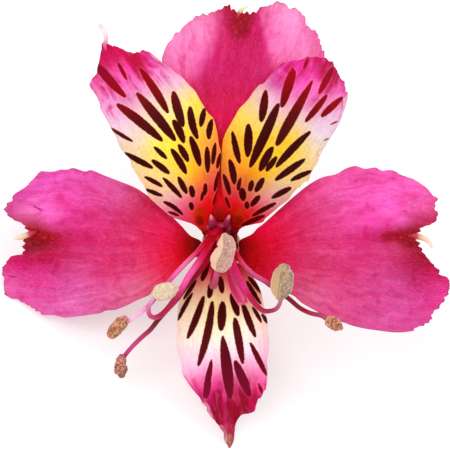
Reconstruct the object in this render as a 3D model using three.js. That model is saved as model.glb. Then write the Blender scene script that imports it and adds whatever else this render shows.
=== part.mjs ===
// One picked flower of an Alstroemeria (Peruvian lily): six tepals in two rings of three, six stamens,
// a style, the ribbed ovary below them and a short cut stalk, resting on its stalk end and its tepals.
//
// Everything is first laid out in the flower's own frame: Z runs out of the throat towards whoever looks
// into the flower, X is to the right and Y is up across its face. The outlines are given as they are seen
// from the eye point on that Z axis, so a point keeps its outline place at any depth. At the end the whole
// flower is turned and dropped to where it rests, with Z up and the surface at Z = 0.
import * as THREE from 'three';
import { mergeVertices } from 'three/addons/utils/BufferGeometryUtils.js';

// ---- driving dimensions, mm ----
const EYE_DISTANCE = 350;              // eye point above the plane of the open tepals
const THROAT = [-0.72, -3.94];         // middle of the throat on the flower's face
const OUTER_RING = 3.22;               // radius where the outer tepals leave the ovary
const INNER_RING = 2.51;               // radius where the inner tepals leave the ovary
const THROAT_DEPTH = -20;              // depth of both rings below the face
const CLAW_HALF_ANGLE = 26;            // half the angle that one tepal takes of its ring, degrees
const CLAW_THICKNESS = 0.4;
const TEPAL_THICKNESS = 0.6;
const FILAMENT_RADIUS = 0.4;
const STYLE_RADIUS = 0.5;
const OVARY_TOP = -20.6;
const OVARY_LENGTH = 8.6;
const OVARY_RADIUS = 3.7;
const STALK_RADIUS = 1.25;
const STALK_END = -34;
const GRID_ALONG = 24;                 // facets along a tepal
const GRID_ACROSS = 12;                // facets across a tepal

// The funnel: how far below or above the face a tepal lies at each distance from the middle of the throat.
const FUNNEL = [[3.2, -20], [3.7, -16.5], [4.7, -12.2], [6.2, -8.8], [9, -5.2], [13, -2.2], [18.5, -0.1],
  [25, 0.9], [31, 0.6], [37, -1.6], [44, -5.5], [52, -11]];

// Each tepal: ring it grows from, azimuth of its claw, how far it stands forward of the funnel, how much its
// margins rise above its middle, and how far its end curls back.
const TEPALS = {
  outer_tepal_top: { ring: 'outer', azimuth: 90, lift: 0, cup: -1.0, fall: 2.0, colour: 0xd8307f },
  outer_tepal_left: { ring: 'outer', azimuth: 210, lift: 0, cup: -1.2, fall: 3.5, colour: 0xdf3f92 },
  outer_tepal_right: { ring: 'outer', azimuth: 330, lift: 0, cup: -1.2, fall: 3.5, colour: 0xdf3f92 },
  inner_tepal_upper_left: { ring: 'inner', azimuth: 150, lift: 2.4, cup: 0.6, fall: 0.5, colour: 0xf0cf58 },
  inner_tepal_upper_right: { ring: 'inner', azimuth: 30, lift: 1.4, cup: 0.6, fall: 0.5, colour: 0xf0cf58 },
  inner_tepal_lower: { ring: 'inner', azimuth: 270, lift: 0.8, cup: 1.0, fall: 5.0, colour: 0xf6dcc0 },
};

// Margins of each tepal, from its claw outwards, and its far edge from the left margin to the right.
const OUTLINES = {
  outer_tepal_top: {
    left: [[-2.13,-1.04],[-2.51,1.79],[-3.22,5.37],[-4.65,9.84],[-6.62,15.21],[-8.77,20.94],[-10.38,25.6],[-11.1,28.46],[-11.28,29.89],[-10.74,31.32]],
    distal: [[-10.74,31.32],[-10.2,32.58],[-9.49,33.47],[-8.95,34.55],[-8.23,34.73],[-7.7,35.44],[-6.62,36.34],[-5.55,37.05],[-4.47,37.59],[-3.04,37.68],[-1.97,38.13],[-0.9,38.48],[0.0,39.02],[0.72,39.38],[1.07,38.84],[1.43,38.48],[1.79,38.31],[2.69,38.31],[3.58,38.13],[4.47,38.04],[5.37,38.22],[6.0,38.66],[6.35,39.29],[6.8,39.2],[7.34,39.38],[8.05,39.47],[8.77,39.92],[9.67,40.19],[10.56,39.74],[11.1,39.2],[11.46,38.48],[11.99,38.66],[12.71,38.66],[13.25,37.95],[13.96,37.59],[14.5,36.7],[14.86,35.8],[15.57,35.08],[16.29,34.73],[16.83,33.65],[17.18,32.76],[17.36,31.68],[17.72,30.97]],
    right: [[0.7,-1.04],[1.07,1.79],[1.79,5.37],[3.22,9.84],[5.55,14.68],[8.77,19.33],[12.89,23.63],[16.11,27.03],[17.72,29.18],[17.72,30.97]],
  },
  outer_tepal_left: {
    left: [[-3.94,-4.17],[-4.12,-3.22],[-4.47,-2.74],[-4.92,-2.51],[-6.16,-1.92],[-7.7,-0.27],[-9.31,1.36],[-11.51,3.29],[-13.42,4.92],[-15.61,6.44],[-16.72,6.98],[-19.46,8.05],[-21.66,8.9],[-24.11,9.84],[-24.93,9.59],[-27.26,10.2],[-28.21,9.92],[-29.32,9.92],[-30.68,9.59],[-32.88,9.59]],
    distal: [[-32.88,9.59],[-33.71,8.9],[-34.65,8.05],[-35.89,6.86],[-36.98,6.16],[-38.09,5.19],[-38.22,4.39],[-38.9,3.83],[-39.4,3.04],[-39.13,2.18],[-38.36,1.36],[-37.27,0.68],[-36.16,0.27],[-35.89,-0.27],[-35.33,-0.97],[-35.48,-1.65],[-36.03,-3.01],[-36.16,-4.12],[-36.3,-5.19],[-37.54,-5.37],[-38.63,-5.73],[-39.31,-6.71],[-39.74,-7.27],[-40.13,-8.48],[-39.45,-9.59],[-39.45,-10.38],[-39.31,-11.78],[-39.31,-12.89],[-37.8,-13.28],[-36.16,-13.96],[-34.8,-14.68],[-33.71,-15.48],[-32.47,-16.16]],
    right: [[-2.52,-6.61],[-3.58,-5.91],[-4.65,-5.37],[-5.91,-6.09],[-7.34,-7.34],[-8.77,-8.77],[-10.13,-10.02],[-11.99,-11.46],[-13.69,-12.6],[-15.61,-13.42],[-17.54,-14.39],[-19.73,-15.21],[-21.37,-15.34],[-22.2,-15.75],[-23.84,-16.02],[-26.58,-16.38],[-28.77,-16.58],[-30.68,-16.16],[-32.47,-16.16]],
  },
  outer_tepal_right: {
    left: [[2.51,-4.17],[2.42,-3.22],[2.69,-2.69],[3.76,-2.15],[4.83,-1.61],[5.73,-0.63],[6.91,0.27],[9.36,2.47],[12.12,4.92],[14.86,7.12],[17.31,8.5],[20.05,9.18],[21.43,10.02],[23.34,10.56],[24.99,10.08],[27.03,10.27],[27.87,9.72],[29.64,9.84],[30.73,9.45],[31.02,8.77]],
    distal: [[31.02,8.77],[33.2,8.5],[34.85,7.7],[36.21,6.71],[37.05,5.62],[37.95,4.65],[37.45,3.29],[37.95,1.92],[37.59,0.68],[36.5,0.0],[35.26,-0.41],[34.85,-1.07],[34.24,-1.79],[34.55,-2.86],[35.08,-3.94],[35.67,-4.94],[36.77,-6.3],[37.86,-7.52],[38.56,-8.23],[38.66,-8.9],[39.65,-9.31],[40.06,-10.42],[39.79,-12.06],[39.38,-12.89],[38.66,-14.8],[37.59,-15.34],[37.05,-16.16],[37.05,-16.83],[35.8,-17.95],[33.88,-18.37],[33.76,-18.9]],
    right: [[1.09,-6.61],[2.33,-6.09],[3.58,-6.98],[4.83,-8.05],[6.35,-9.84],[8.0,-11.24],[10.02,-11.99],[12.1,-12.6],[13.75,-13.96],[15.93,-15.21],[17.54,-16.11],[19.33,-16.92],[21.43,-17.54],[22.52,-17.95],[24.7,-18.49],[27.46,-18.9],[30.47,-19.24],[32.52,-19.15],[33.76,-18.9]],
  },
  inner_tepal_upper_left: {
    left: [[-3.22,-3.76],[-3.4,-2.69],[-3.53,-1.79],[-3.76,-1.25],[-4.47,-0.9],[-5.01,-0.36],[-5.73,0.18],[-6.98,0.54],[-8.05,0.9],[-9.13,1.25],[-9.84,1.61],[-11.28,2.86],[-12.53,3.94],[-13.6,5.01],[-14.14,6.26],[-14.86,7.52],[-15.57,8.59],[-16.29,9.84],[-16.83,10.74],[-16.65,11.1],[-16.83,11.63],[-17.72,12.53],[-18.62,13.6],[-19.15,14.68],[-19.51,15.75],[-20.23,17.0],[-20.76,18.08],[-21.48,19.33],[-22.02,20.23],[-22.38,21.3],[-22.11,21.84],[-22.55,22.73],[-23.27,23.63],[-23.99,24.52]],
    distal: [[-23.99,24.52],[-24.25,25.15],[-23.99,25.78],[-23.81,26.31],[-23.09,27.03],[-22.91,28.28],[-22.55,29.54],[-22.2,31.32],[-21.84,32.58],[-20.59,32.22],[-18.79,31.68],[-17.36,30.97],[-15.93,30.79],[-15.21,31.06],[-14.14,31.24],[-13.42,30.43]],
    right: [[-2.11,-1.86],[-2.69,-0.72],[-2.77,0.72],[-2.42,2.33],[-1.88,3.94],[-1.52,5.55],[-1.25,8.05],[-0.9,10.74],[-0.72,13.07],[-1.07,14.32],[-1.25,15.75],[-1.61,17.54],[-2.15,19.15],[-3.04,20.05],[-3.58,20.94],[-4.47,22.38],[-5.37,23.99],[-6.26,24.88],[-7.34,26.13],[-8.41,27.03],[-9.84,27.92],[-11.1,28.82],[-11.63,29.0],[-12.53,29.54],[-13.42,30.43]],
  },
  inner_tepal_upper_right: {
    left: [[0.68,-1.86],[1.07,-0.72],[1.07,0.72],[0.72,2.33],[0.09,3.94],[-0.36,5.55],[-0.63,8.05],[-0.72,10.74],[-0.54,13.78],[-0.36,15.21],[0.18,16.65],[0.9,17.9],[1.61,19.15],[2.51,20.76],[3.58,21.84],[4.47,22.91],[5.19,23.99],[6.09,25.06],[6.98,25.42],[7.52,26.13],[8.05,26.67],[8.95,27.74],[10.02,28.82]],
    distal: [[10.02,28.82],[11.63,29.36],[12.53,29.54],[13.42,29.62],[14.14,29.89],[14.68,30.25],[15.39,30.07],[16.29,30.16],[17.0,29.98],[17.9,29.89],[18.44,29.54],[19.33,29.0],[19.69,28.1],[20.23,27.21],[20.59,26.31],[21.3,25.6],[21.48,24.7],[21.57,24.16],[21.93,23.72],[21.48,23.09],[20.94,22.73]],
    right: [[1.79,-3.76],[1.7,-2.69],[1.61,-1.97],[1.97,-1.07],[2.86,-0.36],[3.76,-0.18],[5.37,0.18],[6.8,0.54],[7.16,1.07],[8.41,2.15],[9.84,3.4],[11.28,4.47],[11.81,5.19],[12.17,6.09],[12.71,6.44],[13.42,6.8],[14.14,7.7],[14.86,7.88],[15.21,8.77],[15.57,9.84],[16.29,10.74],[16.83,11.81],[16.47,12.71],[17.0,13.42],[17.9,13.96],[18.44,15.04],[18.97,15.93],[19.51,16.83],[20.23,17.9],[20.59,18.97],[20.76,20.05],[21.12,20.94],[21.12,21.48],[20.94,22.73]],
  },
  inner_tepal_lower: {
    left: [[-1.81,-6.19],[-2.86,-6.44],[-3.94,-7.34],[-5.19,-8.77],[-6.62,-10.56],[-7.79,-12.35],[-8.31,-14.32],[-8.59,-17.0],[-8.52,-18.53],[-8.7,-20.91],[-8.41,-22.73],[-7.79,-24.88],[-7.59,-26.67],[-6.62,-28.28],[-5.28,-30.07],[-3.97,-31.4],[-3.45,-32.18]],
    distal: [[-3.45,-32.18],[-2.79,-32.58],[-2.15,-34.01],[-1.88,-34.91],[-0.82,-36.16],[0.23,-37.18],[0.36,-38.48],[0.68,-40.06],[1.41,-39.02],[1.66,-37.95],[1.7,-36.39],[2.15,-35.08],[2.99,-34.01],[4.42,-33.71],[5.28,-33.29],[5.53,-32.4],[5.64,-31.54],[5.91,-31.15],[6.35,-30.97],[6.75,-30.36],[6.96,-29.8],[7.32,-29.43]],
    right: [[0.38,-6.19],[1.79,-6.44],[3.4,-7.79],[4.83,-9.13],[5.82,-10.56],[6.44,-11.99],[6.8,-13.6],[7.16,-15.39],[7.59,-17.18],[7.7,-19.06],[7.88,-20.91],[7.79,-22.73],[7.52,-24.31],[7.59,-25.88],[7.52,-28.0],[7.32,-29.43]],
  },
};

// Middle lines of the filaments and of the style, [x, y, depth].
const STALKS = {
  filament_1: [[-0.72,-3.94,-19],[-0.9,-5.19,-12],[-1.07,-6.62,-5],[-1.61,-8.77,1],[-2.06,-10.38,5],[-2.09,-11.01,8],[-1.88,-10.38,10.8],[-1.56,-9.13,12.6],[-1.47,-8.81,13.0]],
  filament_2: [[0.0,-2.69,-19],[0.27,-3.58,-12],[1.25,-5.91,-4],[1.97,-8.05,1],[3.22,-10.92,5],[4.47,-12.89,8.5],[5.73,-14.5,11],[6.98,-15.39,13],[8.05,-15.39,14],[9.13,-15.04,14.5],[9.88,-14.32,15]],
  filament_3: [[-1.43,-2.69,-19],[-1.97,-3.58,-12],[-2.86,-5.01,-5],[-4.65,-6.8,1.5],[-6.62,-9.4,5],[-7.88,-11.63,7],[-10.2,-14.86,10],[-11.63,-16.2,11.5],[-12.71,-16.56,12.5],[-13.51,-16.11,13],[-13.69,-14.95,13.3],[-13.39,-14.18,13.4]],
  filament_4: [[-2.15,-3.94,-19],[-2.69,-4.12,-13],[-3.4,-4.47,-7],[-4.65,-4.92,-2],[-7.52,-7.34,2.5],[-9.84,-9.84,5],[-11.63,-11.81,6],[-13.07,-13.78,7],[-15.21,-15.75,8],[-16.83,-16.93,8.4]],
  filament_5: [[-1.43,-5.19,-19],[-1.79,-5.91,-12],[-2.86,-6.98,-6],[-4.65,-8.41,-1],[-6.8,-10.74,2],[-8.77,-13.42,3],[-10.74,-15.57,2.5],[-11.99,-17.0,2],[-13.42,-18.79,2],[-14.86,-20.05,2],[-17.0,-22.2,2.5],[-17.72,-23.09,2.9]],
  filament_6: [[0.72,-3.94,-19],[1.43,-4.3,-12],[1.97,-5.37,-7],[2.69,-6.8,-3],[4.96,-8.77,1.5],[8.05,-10.65,4],[11.28,-13.07,6],[13.42,-14.86,7],[15.21,-15.75,8],[17.0,-16.22,8.4]],
  style: [[0.0,-5.19,-19],[0.18,-5.91,-12],[0.54,-7.16,-5],[1.16,-8.95,0],[2.15,-11.63,3.5],[3.22,-13.69,6]],
};

// Anthers: [x, y, depth, half length, half width, half thickness, angle of the long axis in degrees].
const ANTHERS = {
  anther_1: [-0.36,-4.56,15.2,3.45,1.75,1.3,80],
  anther_2: [10.26,-10.06,15.4,3.3,1.95,1.35,83],
  anther_3: [-10.83,-11.9,13.8,2.75,1.5,1.3,14],
  anther_4: [-19.24,-18.31,8.6,2.0,1.2,1.1,35],
  anther_5: [-18.62,-25.45,3.2,1.9,1.15,1.05,98],
  anther_6: [19.42,-17.6,8.6,1.75,1.05,1.0,-32],
};

// Where the flower comes to rest: its turn (x, y, z, w) and its shift.
const REST_TURN = [0.365257, -0.113504, 0.274188, 0.882341];
const REST_SHIFT = [-2.154, -4.065, 27.577];

// ---- helpers ----
const smoothstep = (a, b, x) => {
  const t = Math.min(1, Math.max(0, (x - a) / (b - a)));
  return t * t * (3 - 2 * t);
};

// A point of the flower from its place on the face and its depth.
const place = (x, y, z) => {
  const k = (EYE_DISTANCE - z) / EYE_DISTANCE;
  return new THREE.Vector3(x * k, y * k, z);
};

// A monotone curve through the funnel's points.
const funnelSlopes = FUNNEL.map((p, i) => {
  if (i === 0 || i === FUNNEL.length - 1) {
    const [a, b] = i === 0 ? [FUNNEL[0], FUNNEL[1]] : [FUNNEL[i - 1], FUNNEL[i]];
    return (b[1] - a[1]) / (b[0] - a[0]);
  }
  const d0 = (p[1] - FUNNEL[i - 1][1]) / (p[0] - FUNNEL[i - 1][0]);
  const d1 = (FUNNEL[i + 1][1] - p[1]) / (FUNNEL[i + 1][0] - p[0]);
  return d0 * d1 <= 0 ? 0 : (2 * d0 * d1) / (d0 + d1);
});
function funnel(r) {
  if (r <= FUNNEL[0][0]) return FUNNEL[0][1];
  let i = 0;
  while (i < FUNNEL.length - 2 && r > FUNNEL[i + 1][0]) i += 1;
  const [x0, y0] = FUNNEL[i];
  const [x1, y1] = FUNNEL[i + 1];
  const h = x1 - x0;
  const t = (r - x0) / h;
  return (2 * t ** 3 - 3 * t ** 2 + 1) * y0 + (t ** 3 - 2 * t ** 2 + t) * h * funnelSlopes[i]
    + (-2 * t ** 3 + 3 * t ** 2) * y1 + (t ** 3 - t ** 2) * h * funnelSlopes[i + 1];
}

// A point at a share of a polyline's length.
function along(points, share) {
  const lengths = [0];
  for (let i = 1; i < points.length; i += 1) {
    lengths.push(lengths[i - 1] + Math.hypot(points[i][0] - points[i - 1][0], points[i][1] - points[i - 1][1]));
  }
  const s = share * lengths[lengths.length - 1];
  let i = 1;
  while (i < points.length - 1 && lengths[i] < s) i += 1;
  const t = (s - lengths[i - 1]) / (lengths[i] - lengths[i - 1]);
  return [points[i - 1][0] + t * (points[i][0] - points[i - 1][0]), points[i - 1][1] + t * (points[i][1] - points[i - 1][1])];
}

// A tepal as one closed thin body: a grid spanned between its claw, its two margins and its far edge.
function tepal(name) {
  const { ring, azimuth, lift, cup, fall } = TEPALS[name];
  const { left, distal, right } = OUTLINES[name];
  const inner = ring === 'inner';
  const radius = inner ? INNER_RING : OUTER_RING;
  const claw = (v) => {
    const a = THREE.MathUtils.degToRad(azimuth + CLAW_HALF_ANGLE * (1 - 2 * v));
    return [THROAT[0] + radius * Math.cos(a), THROAT[1] + radius * Math.sin(a)];
  };
  const corners = [claw(0), claw(1), distal[0], distal[distal.length - 1]];
  const rows = [];
  for (let i = 0; i <= GRID_ALONG; i += 1) {
    const u = (i / GRID_ALONG) ** 1.5;
    const l = along(left, u);
    const r = along(right, u);
    const row = [];
    for (let j = 0; j <= GRID_ACROSS; j += 1) {
      const v = j / GRID_ACROSS;
      const b = claw(v);
      const d = along(distal, v);
      const p = [0, 1].map((k) => (1 - v) * l[k] + v * r[k] + (1 - u) * b[k] + u * d[k]
        - ((1 - u) * (1 - v) * corners[0][k] + (1 - u) * v * corners[1][k]
          + u * (1 - v) * corners[2][k] + u * v * corners[3][k]));
      const rho = Math.hypot(p[0] - THROAT[0], p[1] - THROAT[1]);
      const z = funnel(rho + (inner ? OUTER_RING - INNER_RING : 0)) + lift * smoothstep(5, 13, rho)
        + cup * ((2 * v - 1) ** 2 - 0.33) * smoothstep(9, 24, rho)
        - fall * smoothstep(0.35, 1, u) ** 1.5;
      row.push(place(p[0], p[1], z));
    }
    rows.push(row);
  }
  const positions = [];
  const count = (GRID_ALONG + 1) * (GRID_ACROSS + 1);
  const at = (i, j) => rows[Math.min(GRID_ALONG, Math.max(0, i))][Math.min(GRID_ACROSS, Math.max(0, j))];
  for (const side of [1, -1]) {
    for (let i = 0; i <= GRID_ALONG; i += 1) {
      for (let j = 0; j <= GRID_ACROSS; j += 1) {
        const du = at(i + 1, j).clone().sub(at(i - 1, j));
        const dv = at(i, j + 1).clone().sub(at(i, j - 1));
        const normal = dv.cross(du).normalize();
        const rho = Math.hypot(at(i, j).x - THROAT[0], at(i, j).y - THROAT[1]);
        const t = CLAW_THICKNESS + (TEPAL_THICKNESS - CLAW_THICKNESS) * smoothstep(5, 10, rho);
        const q = at(i, j).clone().addScaledVector(normal, (side * t) / 2);
        positions.push(q.x, q.y, q.z);
      }
    }
  }
  const index = [];
  const id = (i, j) => i * (GRID_ACROSS + 1) + j;
  const quad = (a, b, c, d) => index.push(a, b, c, a, c, d);
  for (let i = 0; i < GRID_ALONG; i += 1) {
    for (let j = 0; j < GRID_ACROSS; j += 1) {
      quad(id(i, j), id(i, j + 1), id(i + 1, j + 1), id(i + 1, j));
      quad(count + id(i, j), count + id(i + 1, j), count + id(i + 1, j + 1), count + id(i, j + 1));
    }
  }
  for (let i = 0; i < GRID_ALONG; i += 1) {
    quad(id(i, 0), id(i + 1, 0), count + id(i + 1, 0), count + id(i, 0));
    quad(id(i + 1, GRID_ACROSS), id(i, GRID_ACROSS), count + id(i, GRID_ACROSS), count + id(i + 1, GRID_ACROSS));
  }
  for (let j = 0; j < GRID_ACROSS; j += 1) {
    quad(id(0, j + 1), id(0, j), count + id(0, j), count + id(0, j + 1));
    quad(id(GRID_ALONG, j), id(GRID_ALONG, j + 1), count + id(GRID_ALONG, j + 1), count + id(GRID_ALONG, j));
  }
  const geometry = new THREE.BufferGeometry();
  geometry.setAttribute('position', new THREE.Float32BufferAttribute(positions, 3));
  geometry.setIndex(index);
  return geometry;
}

// A round stalk along a smooth curve.
function stalk(points, radius, steps, sides) {
  const curve = new THREE.CatmullRomCurve3(points.map((p) => place(...p)), false, 'centripetal');
  const section = new THREE.Shape();
  for (let k = 0; k < sides; k += 1) {
    const a = (2 * Math.PI * k) / sides;
    section[k === 0 ? 'moveTo' : 'lineTo'](radius * Math.cos(a), radius * Math.sin(a));
  }
  section.closePath();
  return new THREE.ExtrudeGeometry(section, { steps, bevelEnabled: false, extrudePath: curve });
}

const flower = new THREE.Group();
const add = (name, geometry, colour, roughness) => {
  let g = geometry;
  if (!g.index) {
    g.deleteAttribute('normal');
    g.deleteAttribute('uv');
    g = mergeVertices(g, 1e-4);
  }
  g.computeVertexNormals();
  const mesh = new THREE.Mesh(g, new THREE.MeshStandardMaterial({ color: colour, roughness, metalness: 0 }));
  mesh.name = name;
  flower.add(mesh);
  return mesh;
};

for (const name of Object.keys(TEPALS)) add(name, tepal(name), TEPALS[name].colour, 0.55);

for (const [name, points] of Object.entries(STALKS)) {
  const style = name === 'style';
  add(name, stalk(points, style ? STYLE_RADIUS : FILAMENT_RADIUS, style ? 12 : 20, 8), style ? 0xe0387a : 0xe2609a, 0.4);
}

for (const [name, [x, y, z, length, width, depth, angle]] of Object.entries(ANTHERS)) {
  const g = new THREE.SphereGeometry(1, 14, 9);
  g.rotateZ(Math.PI / 2);
  g.scale(length, width, depth);
  g.deleteAttribute('normal');
  g.deleteAttribute('uv');
  const mesh = add(name, mergeVertices(g, 1e-4), 0xd2a98c, 0.8);
  mesh.rotation.z = THREE.MathUtils.degToRad(angle);
  mesh.position.copy(place(x, y, z));
}

// The ovary: six low ribs, full below the tepals and narrowing into the stalk.
{
  const profile = [[0, 0], [0.80, 0.02], [0.95, 0.10], [1.0, 0.28], [0.94, 0.50], [0.76, 0.74], [0.52, 0.92], [0.40, 1.0]];
  const sides = 36;
  const positions = [];
  const index = [];
  profile.forEach(([r, t], i) => {
    const z = OVARY_TOP - OVARY_LENGTH * t;
    for (let k = 0; k < sides; k += 1) {
      const a = (2 * Math.PI * k) / sides;
      const radius = i === 0 ? 0 : OVARY_RADIUS * r * (1 + 0.07 * Math.cos(6 * a - Math.PI) * (1 - t * 0.7));
      const c = place(...THROAT, z);
      positions.push(c.x + radius * Math.cos(a), c.y + radius * Math.sin(a), z);
    }
  });
  const last = (profile.length - 1) * sides;
  const centre = positions.length / 3;
  const c = place(...THROAT, OVARY_TOP - OVARY_LENGTH);
  positions.push(c.x, c.y, c.z);
  for (let i = 0; i < profile.length - 1; i += 1) {
    for (let k = 0; k < sides; k += 1) {
      const n = (k + 1) % sides;
      const [a, b, d, e] = [i * sides + k, i * sides + n, (i + 1) * sides + n, (i + 1) * sides + k];
      if (i > 0) index.push(a, d, b);
      index.push(a, e, d);
    }
  }
  for (let k = 0; k < sides; k += 1) index.push(centre, last + ((k + 1) % sides), last + k);
  const g = new THREE.BufferGeometry();
  g.setAttribute('position', new THREE.Float32BufferAttribute(positions, 3));
  g.setIndex(index);
  add('ovary', mergeVertices(g, 1e-4), 0x7d8a4a, 0.5);
}

add('pedicel', stalk([
  [...THROAT, OVARY_TOP - OVARY_LENGTH - 0.3],
  [THROAT[0], THROAT[1] + 0.1, (OVARY_TOP - OVARY_LENGTH + STALK_END) / 2],
  [THROAT[0] - 0.1, THROAT[1] + 0.5, STALK_END],
], STALK_RADIUS, 5, 14), 0x7f9a4c, 0.5);

flower.quaternion.set(...REST_TURN).normalize();
flower.position.set(...REST_SHIFT);

export default flower;
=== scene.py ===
"""Looks of one picked Alstroemeria flower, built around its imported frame. Lengths below are in millimetres in
the flower's own frame (Z out of the throat, X right, Y up across its face) until place() puts them on the surface."""

import math

import bpy
import numpy as np
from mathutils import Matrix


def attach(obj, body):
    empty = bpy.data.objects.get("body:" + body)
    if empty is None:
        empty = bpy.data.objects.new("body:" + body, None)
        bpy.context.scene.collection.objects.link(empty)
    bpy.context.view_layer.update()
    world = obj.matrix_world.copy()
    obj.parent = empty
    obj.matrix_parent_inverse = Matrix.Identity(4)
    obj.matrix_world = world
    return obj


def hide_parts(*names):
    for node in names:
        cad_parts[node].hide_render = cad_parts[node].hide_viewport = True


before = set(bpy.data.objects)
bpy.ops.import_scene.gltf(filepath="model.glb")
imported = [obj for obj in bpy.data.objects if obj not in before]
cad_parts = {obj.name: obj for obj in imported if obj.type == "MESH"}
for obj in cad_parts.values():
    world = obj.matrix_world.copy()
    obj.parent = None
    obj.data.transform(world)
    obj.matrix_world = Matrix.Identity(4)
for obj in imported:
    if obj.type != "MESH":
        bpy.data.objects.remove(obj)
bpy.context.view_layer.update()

# ------------------------------------------------------------------ the flower's dimensions, as in the design
EYE = 350.0
THROAT = np.array([-0.72, -3.94])
RING = {"outer": 3.22, "inner": 2.51}
FUNNEL = np.array([[3.2, -20], [3.7, -16.5], [4.7, -12.2], [6.2, -8.8], [9, -5.2], [13, -2.2], [18.5, -0.1],
                   [25, 0.9], [31, 0.6], [37, -1.6], [44, -5.5], [52, -11]])
CLAW_HALF_ANGLE = 29.0
TURN = np.array([0.365257, -0.113504, 0.274188, 0.882341])
SHIFT = np.array([-2.154, -4.065, 27.577])

TEPALS = {
    "outer_tepal_top": dict(ring="outer", azimuth=90, lift=0.0, cup=-1.0, fall=2.0),
    "outer_tepal_left": dict(ring="outer", azimuth=210, lift=0.0, cup=-1.2, fall=3.5),
    "outer_tepal_right": dict(ring="outer", azimuth=330, lift=0.0, cup=-1.2, fall=3.5),
    "inner_tepal_upper_left": dict(ring="inner", azimuth=150, lift=2.4, cup=0.6, fall=0.5),
    "inner_tepal_upper_right": dict(ring="inner", azimuth=30, lift=1.4, cup=0.6, fall=0.5),
    "inner_tepal_lower": dict(ring="inner", azimuth=270, lift=0.8, cup=1.0, fall=5.0),
}

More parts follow.
